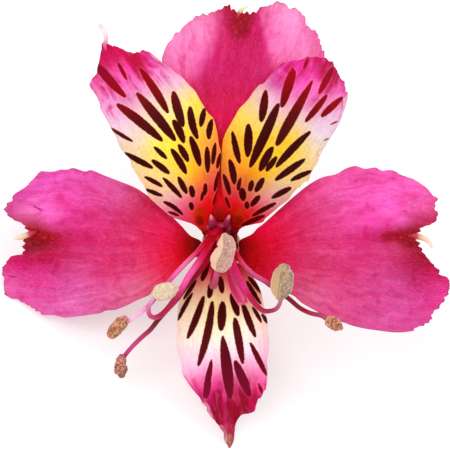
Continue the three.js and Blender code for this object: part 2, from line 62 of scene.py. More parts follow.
# margins from the claw outwards and the far edge from left to right
OUTLINES = {
    "outer_tepal_top": {
        "left": [[-2.49,-1.04],[-3.22,1.79],[-3.58,5.37],[-4.65,9.84],[-6.62,15.21],[-8.77,20.94],[-10.38,25.6],[-11.1,28.46],[-11.28,29.89],[-10.74,31.32]],
        "distal": [[-10.74,31.32],[-10.2,32.58],[-9.49,33.47],[-8.95,34.55],[-8.23,34.73],[-7.7,35.44],[-6.62,36.34],[-5.55,37.05],[-4.47,37.59],[-3.04,37.68],[-1.97,38.13],[-0.9,38.48],[0.0,39.02],[0.72,39.38],[1.07,38.84],[1.43,38.48],[1.79,38.31],[2.69,38.31],[3.58,38.13],[4.47,38.04],[5.37,38.22],[6.0,38.66],[6.35,39.29],[6.8,39.2],[7.34,39.38],[8.05,39.47],[8.77,39.92],[9.67,40.19],[10.56,39.74],[11.1,39.2],[11.46,38.48],[11.99,38.66],[12.71,38.66],[13.25,37.95],[13.96,37.59],[14.5,36.7],[14.86,35.8],[15.57,35.08],[16.29,34.73],[16.83,33.65],[17.18,32.76],[17.36,31.68],[17.72,30.97]],
        "right": [[1.06,-1.04],[1.79,1.79],[2.15,5.37],[3.22,9.84],[5.55,14.68],[8.77,19.33],[12.89,23.63],[16.11,27.03],[17.72,29.18],[17.72,30.97]],
    },
    "outer_tepal_left": {
        "left": [[-3.94,-4.17],[-4.12,-3.22],[-4.47,-2.74],[-4.92,-2.51],[-6.16,-1.92],[-7.7,-0.27],[-9.31,1.36],[-11.51,3.29],[-13.42,4.92],[-15.61,6.44],[-16.72,6.98],[-19.46,8.05],[-21.66,8.9],[-24.11,9.84],[-24.93,9.59],[-27.26,10.2],[-28.21,9.92],[-29.32,9.92],[-30.68,9.59],[-32.88,9.59]],
        "distal": [[-32.88,9.59],[-33.71,8.9],[-34.65,8.05],[-35.89,6.86],[-36.98,6.16],[-38.09,5.19],[-38.22,4.39],[-38.9,3.83],[-39.4,3.04],[-39.13,2.18],[-38.36,1.36],[-37.27,0.68],[-36.16,0.27],[-35.89,-0.27],[-35.33,-0.97],[-35.48,-1.65],[-36.03,-3.01],[-36.16,-4.12],[-36.3,-5.19],[-37.54,-5.37],[-38.63,-5.73],[-39.31,-6.71],[-39.74,-7.27],[-40.13,-8.48],[-39.45,-9.59],[-39.45,-10.38],[-39.31,-11.78],[-39.31,-12.89],[-37.8,-13.28],[-36.16,-13.96],[-34.8,-14.68],[-33.71,-15.48],[-32.47,-16.16]],
        "right": [[-2.52,-6.61],[-3.58,-5.91],[-4.65,-5.37],[-5.91,-6.09],[-7.34,-7.34],[-8.77,-8.77],[-10.13,-10.02],[-11.99,-11.46],[-13.69,-12.6],[-15.61,-13.42],[-17.54,-14.39],[-19.73,-15.21],[-21.37,-15.34],[-22.2,-15.75],[-23.84,-16.02],[-26.58,-16.38],[-28.77,-16.58],[-30.68,-16.16],[-32.47,-16.16]],
    },
    "outer_tepal_right": {
        "left": [[2.51,-4.17],[2.42,-3.22],[2.69,-2.69],[3.76,-2.15],[4.83,-1.61],[5.73,-0.63],[6.91,0.27],[9.36,2.47],[12.12,4.92],[14.86,7.12],[17.31,8.5],[20.05,9.18],[21.43,10.02],[23.34,10.56],[24.99,10.08],[27.03,10.27],[27.87,9.72],[29.64,9.84],[30.73,9.45],[31.02,8.77]],
        "distal": [[31.02,8.77],[33.2,8.5],[34.85,7.7],[36.21,6.71],[37.05,5.62],[37.95,4.65],[37.45,3.29],[37.95,1.92],[37.59,0.68],[36.5,0.0],[35.26,-0.41],[34.85,-1.07],[34.24,-1.79],[34.55,-2.86],[35.08,-3.94],[35.67,-4.94],[36.77,-6.3],[37.86,-7.52],[38.56,-8.23],[38.66,-8.9],[39.65,-9.31],[40.06,-10.42],[39.79,-12.06],[39.38,-12.89],[38.66,-14.8],[37.59,-15.34],[37.05,-16.16],[37.05,-16.83],[35.8,-17.95],[33.88,-18.37],[33.76,-18.9]],
        "right": [[1.09,-6.61],[2.33,-6.09],[3.58,-6.98],[4.83,-8.05],[6.35,-9.84],[8.0,-11.24],[10.02,-11.99],[12.1,-12.6],[13.75,-13.96],[15.93,-15.21],[17.54,-16.11],[19.33,-16.92],[21.43,-17.54],[22.52,-17.95],[24.7,-18.49],[27.46,-18.9],[30.47,-19.24],[32.52,-19.15],[33.76,-18.9]],
    },
    "inner_tepal_upper_left": {
        "left": [[-3.22,-3.76],[-3.4,-2.69],[-3.53,-1.79],[-3.76,-1.25],[-4.47,-0.9],[-5.01,-0.36],[-5.73,0.18],[-6.98,0.54],[-8.05,0.9],[-9.13,1.25],[-9.84,1.61],[-11.28,2.86],[-12.53,3.94],[-13.6,5.01],[-14.14,6.26],[-14.86,7.52],[-15.57,8.59],[-16.29,9.84],[-16.83,10.74],[-16.65,11.1],[-16.83,11.63],[-17.72,12.53],[-18.62,13.6],[-19.15,14.68],[-19.51,15.75],[-20.23,17.0],[-20.76,18.08],[-21.48,19.33],[-22.02,20.23],[-22.38,21.3],[-22.11,21.84],[-22.55,22.73],[-23.27,23.63],[-23.99,24.52]],
        "distal": [[-23.99,24.52],[-24.25,25.15],[-23.99,25.78],[-23.81,26.31],[-23.09,27.03],[-22.91,28.28],[-22.55,29.54],[-22.2,31.32],[-21.84,32.58],[-20.59,32.22],[-18.79,31.68],[-17.36,30.97],[-15.93,30.79],[-15.21,31.06],[-14.14,31.24],[-13.42,30.43]],
        "right": [[-2.11,-1.86],[-2.69,-0.72],[-2.77,0.72],[-2.42,2.33],[-1.88,3.94],[-1.52,5.55],[-1.25,8.05],[-0.9,10.74],[-0.72,13.07],[-1.07,14.32],[-1.25,15.75],[-1.61,17.54],[-2.15,19.15],[-3.04,20.05],[-3.58,20.94],[-4.47,22.38],[-5.37,23.99],[-6.26,24.88],[-7.34,26.13],[-8.41,27.03],[-9.84,27.92],[-11.1,28.82],[-11.63,29.0],[-12.53,29.54],[-13.42,30.43]],
    },
    "inner_tepal_upper_right": {
        "left": [[0.68,-1.86],[1.07,-0.72],[1.07,0.72],[0.72,2.33],[0.09,3.94],[-0.36,5.55],[-0.63,8.05],[-0.72,10.74],[-0.54,13.78],[-0.36,15.21],[0.18,16.65],[0.9,17.9],[1.61,19.15],[2.51,20.76],[3.58,21.84],[4.47,22.91],[5.19,23.99],[6.09,25.06],[6.98,25.42],[7.52,26.13],[8.05,26.67],[8.95,27.74],[10.02,28.82]],
        "distal": [[10.02,28.82],[11.63,29.36],[12.53,29.54],[13.42,29.62],[14.14,29.89],[14.68,30.25],[15.39,30.07],[16.29,30.16],[17.0,29.98],[17.9,29.89],[18.44,29.54],[19.33,29.0],[19.69,28.1],[20.23,27.21],[20.59,26.31],[21.3,25.6],[21.48,24.7],[21.57,24.16],[21.93,23.72],[21.48,23.09],[20.94,22.73]],
        "right": [[1.79,-3.76],[1.7,-2.69],[1.61,-1.97],[1.97,-1.07],[2.86,-0.36],[3.76,-0.18],[5.37,0.18],[6.8,0.54],[7.16,1.07],[8.41,2.15],[9.84,3.4],[11.28,4.47],[11.81,5.19],[12.17,6.09],[12.71,6.44],[13.42,6.8],[14.14,7.7],[14.86,7.88],[15.21,8.77],[15.57,9.84],[16.29,10.74],[16.83,11.81],[16.47,12.71],[17.0,13.42],[17.9,13.96],[18.44,15.04],[18.97,15.93],[19.51,16.83],[20.23,17.9],[20.59,18.97],[20.76,20.05],[21.12,20.94],[21.12,21.48],[20.94,22.73]],
    },
    "inner_tepal_lower": {
        "left": [[-1.81,-6.19],[-2.86,-6.44],[-3.94,-7.34],[-5.19,-8.77],[-6.62,-10.56],[-7.79,-12.35],[-8.31,-14.32],[-8.59,-17.0],[-8.52,-18.53],[-8.7,-20.91],[-8.41,-22.73],[-7.79,-24.88],[-7.59,-26.67],[-6.62,-28.28],[-5.28,-30.07],[-3.97,-31.4],[-3.45,-32.18]],
        "distal": [[-3.45,-32.18],[-2.79,-32.58],[-2.15,-34.01],[-1.88,-34.91],[-0.82,-36.16],[0.23,-37.18],[0.36,-38.48],[0.68,-40.06],[1.41,-39.02],[1.66,-37.95],[1.7,-36.39],[2.15,-35.08],[2.99,-34.01],[4.42,-33.71],[5.28,-33.29],[5.53,-32.4],[5.64,-31.54],[5.91,-31.15],[6.35,-30.97],[6.75,-30.36],[6.96,-29.8],[7.32,-29.43]],
        "right": [[0.38,-6.19],[1.79,-6.44],[3.4,-7.79],[4.83,-9.13],[5.82,-10.56],[6.44,-11.99],[6.8,-13.6],[7.16,-15.39],[7.59,-17.18],[7.7,-19.06],[7.88,-20.91],[7.79,-22.73],[7.52,-24.31],[7.59,-25.88],[7.52,-28.0],[7.32,-29.43]],
    },
}

# colour at places on each tepal, its own colour with the light and shade that fall there painted in: x, y, red, green,
# blue (0-255)
TINTS = {
    "outer_tepal_top": [
        (-4.5, 29.5, 210, 45, 125), (-9.5, 31.7, 230, 125, 180), (-4.5, 34.9, 225, 110, 165), (-1.8, 34.9, 215, 65, 130),
        (0.0, 36.7, 175, 5, 55), (2.3, 37.0, 130, 15, 15), (2.3, 34.9, 155, 5, 30), (2.0, 31.3, 190, 30, 90),
        (6.6, 34.9, 200, 25, 110), (10.7, 36.7, 230, 115, 175), (-0.5, 22.4, 155, 5, 50), (-0.4, 17.0, 175, 20, 55),
        (-1.1, 2.1, 205, 20, 15), (-2.3, 2.1, 225, 10, 30),
    ],
    "outer_tepal_left": [
        (-35.8, 5.4, 210, 70, 155), (-34.9, 2.7, 235, 115, 190), (-18.8, 5.4, 210, 80, 145), (-15.2, 3.6, 200, 45, 90),
        (-31.3, 0.5, 230, 80, 165), (-25.9, 0.0, 205, 35, 115), (-10.7, -0.5, 210, 30, 85), (-34.0, -1.4, 140, 0, 5),
        (-34.9, -3.6, 120, 5, 15), (-31.3, -2.7, 145, 0, 25), (-5.9, -4.1, 135, 5, 0), (-36.7, -6.6, 195, 15, 100),
        (-38.5, -8.9, 210, 70, 140), (-33.1, -7.2, 195, 30, 105), (-25.9, -11.6, 215, 95, 165), (-20.6, -8.1, 205, 45, 105),
        (-16.1, -10.7, 215, 95, 135), (-7.2, -5.4, 175, 5, 15),
    ],
    "outer_tepal_right": [
        (25.9, 9.3, 225, 80, 160), (35.8, 5.4, 235, 90, 170), (20.6, 4.5, 225, 90, 165), (31.3, 0.5, 240, 90, 180),
        (25.9, 0.5, 235, 70, 165), (9.8, -0.5, 195, 15, 60), (6.6, -1.8, 195, 5, 55), (33.5, -2.0, 135, 0, 10),
        (30.4, -1.8, 160, 5, 45), (25.9, -2.3, 200, 35, 110), (30.4, -4.1, 195, 45, 105), (5.4, -3.6, 160, 0, 5),
        (35.8, -6.6, 160, 0, 45), (38.5, -10.7, 215, 45, 125), (31.3, -11.6, 205, 70, 145), (20.6, -8.1, 205, 50, 110),
        (15.2, -11.6, 215, 90, 135), (7.2, -8.1, 170, 5, 40),
    ],
    "inner_tepal_upper_left": [
        (-21.1, 30.4, 195, 15, 75), (-16.1, 29.5, 200, 20, 85), (-13.4, 29.2, 225, 75, 160), (-17.9, 28.1, 230, 65, 155),
        (-8.1, 25.1, 230, 190, 200), (-21.5, 22.4, 235, 145, 200), (-17.4, 22.9, 215, 120, 170), (-5.4, 21.5, 255, 215, 80),
        (-13.4, 22.4, 230, 190, 195), (-18.8, 17.0, 230, 195, 210), (-15.2, 15.2, 235, 205, 185), (-11.6, 14.3, 255, 225, 75),
        (-17.9, 14.0, 225, 195, 160), (-1.4, 13.4, 255, 125, 55), (-6.3, 9.5, 255, 195, 35), (-4.5, 8.1, 245, 135, 45),
        (-2.7, 8.1, 225, 95, 70), (-8.4, 5.0, 235, 175, 175), (-5.0, 3.6, 230, 80, 90), (-3.6, 3.6, 215, 20, 30),
        (-8.1, 1.8, 230, 85, 120), (-6.3, 1.8, 225, 75, 95), (-4.7, 2.1, 200, 35, 5), (-5.0, 0.5, 215, 65, 55),
    ],
    "inner_tepal_upper_right": [
        (13.4, 28.6, 225, 45, 150), (18.8, 26.9, 160, 10, 50), (20.6, 24.2, 225, 85, 165), (8.9, 25.1, 205, 80, 150),
        (16.6, 25.9, 230, 80, 165), (7.7, 24.2, 225, 170, 190), (8.2, 20.6, 230, 190, 195), (16.1, 21.5, 215, 120, 170),
        (20.2, 20.2, 225, 175, 205), (13.4, 18.8, 225, 190, 175), (2.7, 18.8, 250, 200, 75), (11.6, 15.2, 240, 190, 40),
        (16.1, 16.1, 220, 200, 205), (7.2, 9.5, 240, 175, 15), (2.0, 9.8, 250, 145, 40), (9.8, 7.2, 215, 180, 150),
        (12.2, 7.2, 230, 185, 125), (1.2, 6.3, 210, 75, 75), (3.6, 7.2, 205, 95, 45), (7.2, 5.4, 220, 150, 135),
        (4.1, 5.2, 205, 105, 80), (1.8, 3.6, 205, 15, 30), (4.5, 1.2, 195, 15, 30), (2.3, 1.1, 155, 25, 0),
    ],
    "inner_tepal_lower": [
        (-4.5, -10.7, 240, 165, 140), (-1.8, -8.9, 240, 120, 120), (-1.8, -12.0, 250, 222, 172), (0.9, -11.6, 250, 180, 150),
        (0.5, -13.4, 252, 226, 168), (-6.3, -13.4, 250, 220, 182), (-1.8, -16.1, 252, 228, 168), (5.4, -17.0, 252, 222, 198),
        (-2.3, -21.5, 255, 235, 230), (-6.6, -26.3, 255, 175, 210), (-5.4, -28.6, 240, 105, 160), (-3.9, -25.9, 250, 170, 210),
        (-4.5, -30.4, 205, 25, 120), (-2.3, -27.7, 235, 90, 155), (1.6, -23.3, 255, 210, 230), (4.5, -23.3, 255, 205, 230),
        (5.9, -29.5, 230, 60, 130), (-0.5, -30.4, 190, 10, 85), (-0.9, -34.0, 150, 0, 40), (0.9, -37.0, 170, 15, 50),
        (0.7, -38.8, 160, 70, 65), (3.6, -32.2, 125, 0, 25), (4.8, -32.8, 165, 5, 65), (4.5, -30.4, 150, 5, 45),
        (-2.0, -6.6, 150, 10, 20), (0.5, -6.6, 150, 10, 20),
    ],
}

# dashes on the inner tepals: x0, y0, x1, y1, width, bend, where it is widest (share of its length)
DASHES = {
    "inner_tepal_upper_left": [
        (-9.24, 23.84, -7.49, 17.67, 1.63, -0.11, 0.49, 87, 4, 3), (-15.82, 23.66, -8.90, 15.11, 1.78, 0.09, 0.53, 93, 3, 2),
        (-19.33, 21.60, -11.22, 15.04, 1.67, 0.18, 0.48, 104, 3, 3), (-6.25, 21.12, -4.92, 15.49, 1.34, -0.30, 0.47, 77, 5, 3),
        (-3.67, 20.89, -4.35, 17.65, 1.05, -0.02, 0.52, 70, 7, 3), (-2.34, 18.90, -2.91, 15.43, 1.09, -0.13, 0.52, 79, 6, 3),
        (-9.20, 18.64, -7.38, 14.73, 1.40, 0.18, 0.44, 82, 6, 3), (-20.44, 17.38, -16.49, 14.95, 0.68, -0.09, 0.50, 65, 12, 10),
        (-6.19, 15.80, -4.51, 10.62, 1.36, 0.11, 0.50, 79, 5, 3), (-1.73, 14.70, -2.20, 10.87, 0.82, -0.02, 0.52, 104, 4, 2),
        (-8.31, 14.37, -6.63, 11.42, 1.18, 0.09, 0.51, 80, 6, 2), (-12.72, 14.00, -10.48, 11.88, 0.88, 0.04, 0.55, 63, 10, 4),
        (-3.21, 13.96, -3.09, 9.40, 1.05, -0.00, 0.49, 95, 4, 3), (-9.62, 13.63, -6.97, 9.22, 1.26, 0.11, 0.51, 78, 6, 3),
        (-18.01, 12.98, -12.91, 10.20, 1.07, -0.04, 0.55, 62, 8, 5), (-0.84, 12.88, -1.43, 10.21, 0.70, 0.02, 0.57, 105, 5, 2),
        (-13.14, 11.66, -9.99, 9.21, 1.09, 0.05, 0.54, 83, 7, 3), (-1.15, 9.72, -1.89, 6.07, 0.68, 0.02, 0.59, 124, 2, 1),
        (-14.44, 8.65, -11.19, 6.87, 0.78, 0.07, 0.53, 63, 11, 7), (-8.36, 8.56, -6.85, 5.69, 1.05, 0.00, 0.52, 80, 6, 3),
        (-11.10, 8.46, -7.75, 4.88, 0.93, 0.04, 0.53, 73, 7, 5), (-3.51, 7.34, -3.66, 5.35, 0.76, 0.05, 0.45, 115, 3, 3),
        (-6.10, 6.94, -5.73, 5.05, 1.05, 0.02, 0.49, 90, 5, 3), (-14.17, 6.43, -11.15, 5.20, 0.74, -0.04, 0.52, 60, 10, 7),
        (-3.96, 6.01, -4.29, 4.33, 0.51, 0.05, 0.50, 129, 4, 4), (-10.96, 4.15, -7.55, 1.81, 0.76, 0.23, 0.43, 90, 7, 7),
        (-6.20, 3.95, -5.90, 2.78, 0.86, 0.05, 0.49, 115, 4, 4), (-10.19, 2.33, -8.14, 1.61, 0.51, 0.05, 0.50, 117, 6, 6),
        (-22.91, 28.64, -17.81, 22.91, 1.61, -0.14, 0.38, 140, 3, 40), (-19.15, 29.00, -17.54, 25.95, 0.68, 0.00, 0.50, 150, 3, 35),
        (-15.30, 28.10, -10.20, 20.05, 1.47, 0.20, 0.55, 120, 3, 6), (-1.25, 6.26, -2.15, 3.58, 0.45, 0.00, 0.50, 140, 5, 5),
    ],
    "inner_tepal_upper_right": [
        (7.27, 24.11, 6.46, 18.55, 1.47, 0.09, 0.53, 89, 4, 3), (18.25, 23.29, 14.36, 18.47, 1.13, 0.07, 0.50, 111, 5, 9),
        (21.06, 22.90, 17.28, 19.42, 1.22, -0.04, 0.54, 117, 3, 14), (9.59, 21.73, 4.46, 10.32, 1.76, 0.02, 0.48, 74, 4, 2),
        (4.16, 18.04, 4.04, 12.26, 1.55, 0.09, 0.51, 72, 4, 2), (1.29, 16.77, 2.60, 11.05, 1.11, -0.04, 0.54, 77, 6, 3),
        (15.34, 16.78, 9.14, 10.36, 1.36, -0.18, 0.54, 60, 6, 3), (8.51, 13.89, 6.28, 9.76, 1.45, -0.09, 0.50, 63, 6, 2),
        (9.23, 12.18, 7.39, 9.70, 1.05, -0.02, 0.51, 69, 8, 3), (14.29, 11.78, 9.00, 8.03, 1.20, -0.00, 0.50, 59, 6, 3),
        (0.81, 11.69, 1.66, 7.34, 1.20, 0.16, 0.50, 89, 4, 3), (15.47, 9.68, 11.79, 7.97, 0.95, -0.04, 0.52, 50, 9, 5),
        (-0.28, 9.09, 0.87, 5.41, 0.93, 0.05, 0.53, 108, 3, 3), (2.79, 8.41, 2.35, 6.21, 0.72, -0.05, 0.54, 119, 4, 3),
        (6.90, 8.34, 5.50, 6.00, 1.15, 0.00, 0.50, 75, 6, 4), (4.85, 7.87, 4.46, 6.13, 0.99, -0.02, 0.49, 84, 6, 3),
        (11.80, 6.65, 8.40, 4.83, 1.05, -0.05, 0.47, 67, 7, 5), (3.02, 6.33, 3.26, 4.48, 1.26, 0.04, 0.41, 106, 3, 2),
        (6.19, 5.19, 4.71, 3.44, 1.01, -0.02, 0.50, 83, 5, 4), (0.10, 4.97, 0.84, 3.00, 0.53, -0.00, 0.43, 155, 0, 1),
        (3.89, 4.11, 3.97, 2.99, 0.86, 0.00, 0.52, 122, 4, 4), (9.13, 3.94, 4.87, 1.62, 0.82, -0.05, 0.48, 100, 5, 5),
        (7.09, 1.69, 2.98, -0.08, 0.84, -0.02, 0.48, 138, 2, 2), (12.26, 27.57, 10.20, 21.12, 1.70, -0.07, 0.40, 150, 3, 10),
        (11.99, 28.19, 12.35, 25.95, 0.81, 0.00, 0.60, 150, 3, 10), (15.75, 25.95, 9.22, 14.23, 1.79, 0.00, 0.62, 120, 2, 5),
        (19.33, 28.19, 16.83, 23.54, 1.16, 0.00, 0.50, 150, 5, 45), (14.86, 29.89, 14.14, 27.92, 0.54, 0.00, 0.50, 150, 5, 40),
        (20.23, 18.62, 18.79, 17.90, 0.27, 0.00, 0.50, 110, 4, 10), (18.79, 15.57, 17.54, 15.04, 0.18, 0.00, 0.50, 110, 4, 10),
        (7.16, 1.61, 4.83, 1.07, 0.45, 0.00, 0.50, 150, 5, 15),
    ],
    "inner_tepal_lower": [
        (-2.99, -6.56, -4.15, -9.96, 1.05, 0.04, 0.50, 120, 2, 2), (-0.86, -9.26, -0.50, -12.14, 1.07, 0.00, 0.51, 108, 3, 4),
        (4.18, -9.29, 6.45, -12.21, 0.78, 0.07, 0.47, 105, 5, 7), (-5.18, -9.85, -7.43, -13.33, 0.74, 0.02, 0.46, 96, 6, 7),
        (3.87, -10.05, 6.46, -14.24, 0.80, -0.05, 0.43, 86, 8, 8), (-2.71, -10.65, -2.89, -13.00, 1.03, 0.14, 0.49, 80, 7, 5),
        (-5.80, -12.19, -8.38, -17.04, 0.80, -0.14, 0.50, 64, 9, 6), (1.10, -12.27, 2.34, -16.19, 1.30, 0.04, 0.52, 75, 6, 5),
        (-3.81, -12.76, -6.75, -20.34, 1.22, 0.16, 0.47, 86, 6, 5), (-2.26, -13.66, -4.83, -25.25, 1.38, 0.38, 0.47, 99, 10, 14),
        (-0.42, -13.82, -0.69, -18.85, 1.57, 0.00, 0.49, 92, 6, 4), (3.15, -14.01, 5.45, -20.02, 1.20, -0.07, 0.48, 81, 6, 5),
        (4.90, -14.65, 6.51, -17.43, 0.68, 0.05, 0.51, 69, 12, 10), (6.61, -15.93, 7.53, -17.54, 0.68, 0.05, 0.50, 67, 13, 11),
        (1.76, -16.69, 3.21, -24.86, 1.38, -0.00, 0.44, 108, 10, 19), (-0.41, -19.80, 0.86, -31.25, 1.20, -0.29, 0.48, 124, 14, 36),
        (4.44, -21.07, 7.34, -26.83, 0.68, 0.09, 0.45, 121, 10, 32), (-2.39, -24.13, -2.79, -26.31, 0.57, -0.07, 0.48, 123, 14, 49),
        (1.86, -24.29, 1.86, -25.47, 0.55, 0.05, 0.51, 128, 5, 41), (2.65, -26.61, 3.89, -29.97, 1.45, 0.30, 0.50, 136, 8, 36),
        (-2.97, -26.90, -3.36, -30.98, 1.26, -0.00, 0.50, 127, 5, 32), (6.04, -28.94, 6.58, -30.15, 0.51, 0.09, 0.49, 142, 0, 32),
        (4.56, -21.12, 7.45, -26.94, 0.98, 0.00, 0.50, 105, 10, 25), (-2.40, -24.34, -3.71, -30.97, 1.07, 0.00, 0.50, 135, 8, 55),
        (1.79, -24.34, 4.42, -30.61, 1.61, 0.00, 0.50, 130, 8, 50), (5.87, -28.28, 6.80, -29.71, 0.36, 0.00, 0.50, 150, 10, 60),
        (-0.39, -19.87, 1.00, -31.15, 1.29, 0.39, 0.58, 120, 10, 40),
    ],
}

# soft streaks laid over the tepals' colours: x0, y0, x1, y1, widths, softness, bend, colour, strength
STROKES = {
    "outer_tepal_top": [
        # the dark streaks down the channel to the notch: its deeper red with the channel's shade painted in; the light
        # pink bands on the lobes beside it: their paler pink with painted light on the raised lobes
        (3.04, 37.77, 2.33, 22.38, 5.73, 10.02, 2.51, 0.00, 190, 14, 84, 0.62), (2.69, 39.20, 2.69, 34.91, 4.30, 1.43, 1.61, 0.00, 146, 8, 28, 0.85),
        (1.07, 38.13, -1.43, 31.68, 0.54, 0.54, 0.72, 0.00, 190, 20, 80, 0.45), (5.91, 37.95, 8.41, 30.97, 0.54, 0.54, 0.72, 0.00, 206, 30, 110, 0.40),
        (-2.69, 36.70, -6.98, 29.18, 2.51, 4.65, 2.51, 0.00, 255, 168, 214, 0.42), (9.84, 38.84, 11.99, 30.97, 3.94, 6.09, 2.51, 0.00, 255, 164, 214, 0.50),
        (6.62, 37.77, 8.41, 31.32, 0.54, 0.72, 0.72, 0.00, 255, 164, 214, 0.30), (-1.07, 2.86, -1.07, 1.61, 0.54, 0.54, 0.54, 0.00, 130, 80, 20, 0.50),
    ],
    "outer_tepal_left": [
        # the first and third streaks, down the channel to the notch: its deeper red with the channel's shade painted in
        (-35.26, -1.43, -29.89, -2.15, 1.25, 0.54, 0.90, 0.00, 155, 0, 20, 0.60), (-5.91, -3.58, -4.30, -3.40, 0.54, 0.36, 0.54, 0.00, 140, 66, 14, 0.60),
        (-35.98, -3.22, -33.83, -3.58, 0.72, 0.54, 0.72, 0.00, 130, 5, 20, 0.40), (-29.54, 4.83, -28.46, 3.76, 1.07, 0.54, 1.07, 0.00, 196, 12, 84, 0.45),
        (-38.84, -6.62, -29.54, -5.55, 0.72, 0.90, 1.07, 0.00, 200, 10, 84, 0.45), (-34.19, 3.40, -32.94, 2.69, 0.14, 0.14, 0.21, 0.00, 150, 10, 70, 0.80),
        (-38.66, -9.13, -37.59, -9.31, 0.14, 0.14, 0.21, 0.00, 170, 10, 70, 0.80),
    ],
    "outer_tepal_right": [
        # the first streak, down the channel: its deeper red with the channel's shade painted in
        (33.83, -1.97, 28.46, -2.15, 1.25, 0.54, 0.90, 0.00, 155, 5, 25, 0.75), (2.33, -3.49, 3.94, -3.67, 0.54, 0.36, 0.54, 0.00, 128, 60, 12, 0.55),
    ],
    "inner_tepal_upper_left": [
        (-4.56, 2.51, -4.56, 0.90, 1.07, 1.25, 0.72, 0.00, 172, 58, 0, 0.75), (-4.56, 0.98, -4.56, 0.63, 0.90, 1.07, 0.54, 0.00, 124, 12, 0, 0.70),
        (-22.38, 29.18, -20.23, 24.88, 0.90, 0.54, 0.72, 0.00, 170, 8, 60, 0.60), (-19.15, 29.54, -18.08, 27.03, 0.72, 0.36, 0.54, 0.00, 190, 15, 75, 0.60),
        (-17.18, 31.15, -14.68, 27.03, 1.79, 1.61, 0.72, 0.00, 178, 8, 52, 0.80), (-21.66, 31.68, -20.94, 28.46, 0.90, 0.54, 0.72, 0.00, 190, 20, 85, 0.50),
        (-14.50, 29.54, -13.07, 27.74, 0.72, 0.54, 0.54, 0.00, 205, 40, 110, 0.50),
    ],
    "inner_tepal_upper_right": [
        (2.51, 2.51, 2.51, 0.90, 1.07, 1.25, 0.72, 0.00, 172, 58, 0, 0.75), (2.51, 0.98, 2.51, 0.63, 0.90, 1.07, 0.54, 0.00, 124, 12, 0, 0.70),
        (19.87, 26.31, 18.08, 23.81, 1.07, 0.54, 0.72, 0.00, 165, 10, 55, 0.55), (14.86, 29.54, 13.96, 27.03, 0.90, 0.54, 0.72, 0.00, 180, 15, 65, 0.50),
        (18.79, 28.82, 17.36, 26.31, 1.07, 0.72, 0.72, 0.00, 175, 10, 60, 0.55), (11.81, 28.10, 11.28, 25.60, 0.90, 0.72, 0.72, 0.00, 190, 15, 60, 0.50),
    ],
    "inner_tepal_lower": [
        (-1.34, -30.25, -1.52, -35.62, 1.25, 0.72, 0.54, 0.00, 142, 6, 36, 0.80), (2.33, -30.25, 3.31, -33.12, 1.07, 1.43, 0.72, 0.00, 150, 8, 40, 0.80),
        (-0.18, -29.89, 0.18, -36.34, 0.45, 0.36, 0.45, 0.00, 226, 60, 130, 0.50), (1.97, -28.46, 2.15, -32.04, 0.45, 0.36, 0.45, 0.00, 226, 60, 130, 0.50),
        (-3.58, -31.32, -1.97, -34.91, 0.36, 0.36, 0.36, 0.00, 236, 110, 160, 0.50), (4.47, -31.32, 5.37, -32.76, 0.72, 0.72, 0.54, 0.00, 206, 20, 90, 0.60),
        (0.72, -37.77, 0.72, -39.74, 0.36, 0.18, 0.54, 0.00, 176, 160, 110, 0.80), (1.25, -30.97, 1.07, -36.34, 0.72, 0.45, 0.54, 0.00, 160, 5, 40, 0.70),
    ],
}

# folds and ridges: x0, y0, x1, y1, widths, depths (away from the viewer)
CREASES = {
    "outer_tepal_top": [
        (2.69, 38.84, 1.43, 27.74, 2.86, 1.61, 1.70, 0.00), (6.62, 38.13, 3.76, 29.54, 1.43, 1.07, -0.50, 0.00),
        (-2.33, 36.70, -1.25, 29.54, 1.43, 1.07, -0.50, 0.00),
    ],
    "outer_tepal_left": [
        (-35.98, -1.43, -22.38, -2.69, 2.33, 1.43, 1.60, 0.00),
    ],
    "outer_tepal_right": [
        (34.55, -2.33, 21.48, -3.04, 2.33, 1.43, 1.60, 0.00),
    ],
    "inner_tepal_upper_left": [
        (-21.30, 31.68, -15.21, 23.27, 0.90, 1.43, 0.50, 0.00),
    ],
    "inner_tepal_upper_right": [
        (17.36, 29.54, 13.42, 22.38, 1.07, 1.43, 0.50, 0.00),
    ],
    "inner_tepal_lower": [
        (1.07, -38.48, 0.54, -27.74, 0.90, 1.07, 0.90, 0.10), (3.22, -33.47, 2.33, -28.64, 0.90, 0.90, -0.50, 0.00),
    ],
}

